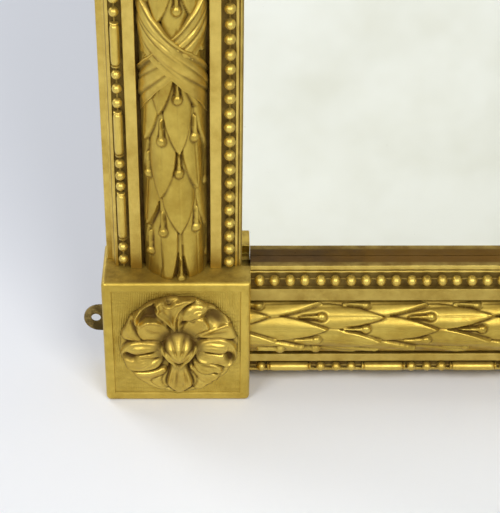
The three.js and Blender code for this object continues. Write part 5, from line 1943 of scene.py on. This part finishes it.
def screw(head_radius, length):
    """A countersunk screw with a slotted head at depth 0, pointing forwards."""
    slot_turn = math.asin(SLOT_HALF / head_radius)
    slot_corners = [slot_turn, math.pi - slot_turn, math.pi + slot_turn, 2 * math.pi - slot_turn]
    even = [2 * math.pi * k / SCREW_SIDES for k in range(SCREW_SIDES)]
    clear_of_slot = [a for a in even if abs(math.sin(a)) > math.sin(slot_turn) * 1.3]
    angles = sorted(clear_of_slot + slot_corners)
    count = len(angles)
    corners = [angles.index(a) for a in slot_corners]
    points = [(head_radius * math.cos(a), 0.0, head_radius * math.sin(a)) for a in angles]
    floor = {}
    for i in corners:
        floor[i] = len(points)
        points.append((points[i][0] * 0.93, -SLOT_DEPTH, points[i][2]))
    threads = np.linspace(SCREW_HEAD_DEPTH + 1.0, length - 3.0, 12)
    profile = [(SHANK_RADIUS, -SCREW_HEAD_DEPTH)]
    profile += [(SHANK_RADIUS * (0.98 if k % 2 else 0.72), -place) for k, place in enumerate(threads)]
    profile.append((0.25, -length))
    rings = []
    for radius, rise in profile:
        rings.append(len(points))
        points += [(radius * math.cos(a), rise, radius * math.sin(a)) for a in angles]
    a, b, c, d = corners
    shank = rings[0]
    faces = []
    for k in range(count):
        after = (k + 1) % count
        if (k, after) in ((b, c), (d, a)):
            faces.append((floor[k], floor[after], shank + after, shank + k))
            continue
        face = [k, after, *([floor[after]] if after in floor else []), shank + after, shank + k]
        faces.append(tuple(face + ([floor[k]] if k in floor else [])))
    for first, second in zip(rings, rings[1:]):
        faces += band_between(first, second, count)
    faces.append(tuple(rings[-1] + k for k in range(count)))
    # the two halves of the head's face, then the walls and the floor of the slot
    faces.append(tuple(k for k in range(count) if math.sin(angles[k]) > 0))
    faces.append(tuple(k for k in range(count) if math.sin(angles[k]) < 0))
    faces += [(a, b, floor[b], floor[a]), (c, d, floor[d], floor[c])]
    faces.append((floor[a], floor[b], floor[c], floor[d]))
    return np.array(points), faces


def turned_about_depth(points, turn):
    c, s = math.cos(turn), math.sin(turn)
    x, y, z = points.T
    return np.stack([x * c - z * s, y, x * s + z * c], 1)


rng = np.random.default_rng(161)
for corner, *_ in BLOCKS:
    node = f"wall_plate_{corner}"
    work = plain_copy(node)
    bevel(work, sharp_edges(work, 60), 0.3, 2)
    object_of(work, f"plate_{corner}", brass, node, "plate_brass")
    for number in (1, 2):
        node = f"plate_screw_{corner}_{number}"
        low, high = box_mm(node)
        head = [(low[0] + high[0]) / 2, high[1] - 0.1, (low[2] + high[2]) / 2]
        points, faces = screw((high[0] - low[0]) / 2 - 0.02, high[1] - low[1] - 0.2)
        points = turned_about_depth(points, rng.uniform(0, math.pi)) + head
        make_piece(f"screw_{corner}_{number}", points, faces, steel, node, "steel")


# ---- Floor, light and camera ---------------------------------------------------------
# The frame stands on a wide sheet of white paper that runs into a pale backdrop.
# Two soft lamps, a third behind and an even sky light it. The camera looks down at the
# foot of the left stile, as the photograph does.
BACKDROP = colour(205, 207, 212)
PAPER_HALF = 12
PAPER_FADE = (1.6, 4.2)


def seen_directly(tree):
    """1 for what the camera sees, also in a reflection or through glass, and 0 for light."""
    ray = add(tree, "LightPath").outputs
    seen = plus(tree, ray["Is Camera Ray"], ray["Is Glossy Ray"], True)
    return plus(tree, seen, ray["Is Transmission Ray"], True)


def white_paper():
    """White paper, a little cooler behind the frame, that fades into the backdrop far away."""
    made, tree, shader = new_material("white_paper")
    where = own_place(tree)
    behind = spread(tree, split(tree, where)[1], -0.05, 0.35)
    tone = blend_colours(tree, behind, colour(239, 240, 243), colour(239, 241, 246))
    fibre = times(tree, noise(tree, where, 400.0, 2.0), 0.04)
    feed(tree, blend_colours(tree, fibre, tone, colour(190, 190, 190)), shader["Base Color"])
    feed(tree, 0.9, shader["Roughness"])
    reach = add(tree, "VectorMath", {0: where}, operation="LENGTH").outputs["Value"]
    fade = times(tree, spread(tree, reach, *PAPER_FADE), seen_directly(tree))
    far_paper = add(tree, "Emission", {"Color": BACKDROP}).outputs[0]
    near_paper = tree.nodes["Principled BSDF"].outputs[0]
    mixed = add(tree, "MixShader", {0: fade, 1: near_paper, 2: far_paper}).outputs[0]
    feed(tree, mixed, tree.nodes["Material Output"].inputs["Surface"])
    return made


paper_corners = [(x * PAPER_HALF, y * PAPER_HALF, 0) for x, y in ((-1, -1), (1, -1), (1, 1), (-1, 1))]
paper_mesh = bpy.data.meshes.new("paper_floor")
paper_mesh.from_pydata(paper_corners, [], [(0, 1, 2, 3)])
paper_mesh.materials.append(white_paper())
paper_floor = bpy.data.objects.new("paper_floor", paper_mesh)
bpy.context.scene.collection.objects.link(paper_floor)


def soft_lamp(name, place, aim, size, power, tint=(1.0, 1.0, 1.0)):
    """A square softbox; place and aim in metres."""
    lamp = bpy.data.lights.new(name, "AREA")
    lamp.shape = "SQUARE"
    lamp.size = size
    lamp.energy = power
    lamp.color = tint
    made = bpy.data.objects.new(name, lamp)
    made.location = place
    made.rotation_euler = (Vector(aim) - Vector(place)).to_track_quat("-Z", "Y").to_euler()
    bpy.context.scene.collection.objects.link(made)


soft_lamp("key_softbox", (0.55, -2.0, 2.35), (-0.35, 0.0, 0.35), 1.25, 38.0)
soft_lamp("fill_softbox", (-1.7, -1.6, 2.0), (-0.35, 0.0, 0.35), 1.0, 24.0)
soft_lamp("back_softbox", (-2.6, 1.9, 2.0), (-0.9, 0.7, 0.0), 1.4, 34.0, (0.95, 0.97, 1.0))

world = bpy.data.worlds.new("studio")
world.use_nodes = True
bpy.context.scene.world = world
tree = world.node_tree
feed(tree, (0.80, 0.83, 0.88, 1.0), tree.nodes["Background"].inputs["Color"])
feed(tree, 0.45, tree.nodes["Background"].inputs["Strength"])
sky = tree.nodes["Background"].outputs[0]
backdrop = add(tree, "Background", {"Color": BACKDROP}).outputs[0]
chosen = add(tree, "MixShader", {0: seen_directly(tree), 1: sky, 2: backdrop}).outputs[0]
feed(tree, chosen, tree.nodes["World Output"].inputs["Surface"])

# Fitted to the photograph by the edges of the block, the mouldings and the pearls.
CAMERA_FROM_BLOCK = (108.48, -1182.02, 969.99)
CAMERA_PITCH = -0.596399433
CAMERA_ROLL = -0.0126779875
CAMERA_YAW = -0.0232500544
FOCAL_PIXELS = 1584.6
IMAGE_HEIGHT = 513

lens = bpy.data.cameras.new("camera")
lens.sensor_width = 36.0
lens.lens = 36.0 * FOCAL_PIXELS / IMAGE_HEIGHT
lens.clip_start = 0.05
lens.clip_end = 50.0
camera = bpy.data.objects.new("camera", lens)
bpy.context.scene.collection.objects.link(camera)
looking = (
    Matrix.Rotation(CAMERA_YAW, 4, "Z")
    @ Matrix.Rotation(CAMERA_PITCH, 4, "X")
    @ Matrix.Rotation(CAMERA_ROLL, 4, "Y")
    @ Matrix.Rotation(math.pi / 2, 4, "X")
)
stand = Matrix.Translation(
    [
        (-HALF + CAMERA_FROM_BLOCK[0]) / 1000,
        (FRONT + CAMERA_FROM_BLOCK[1]) / 1000,
        CAMERA_FROM_BLOCK[2] / 1000,
    ]
)
camera.matrix_world = stand @ looking
bpy.context.scene.camera = camera
bpy.context.scene.view_settings.view_transform = "Standard"

bpy.context.view_layer.update()
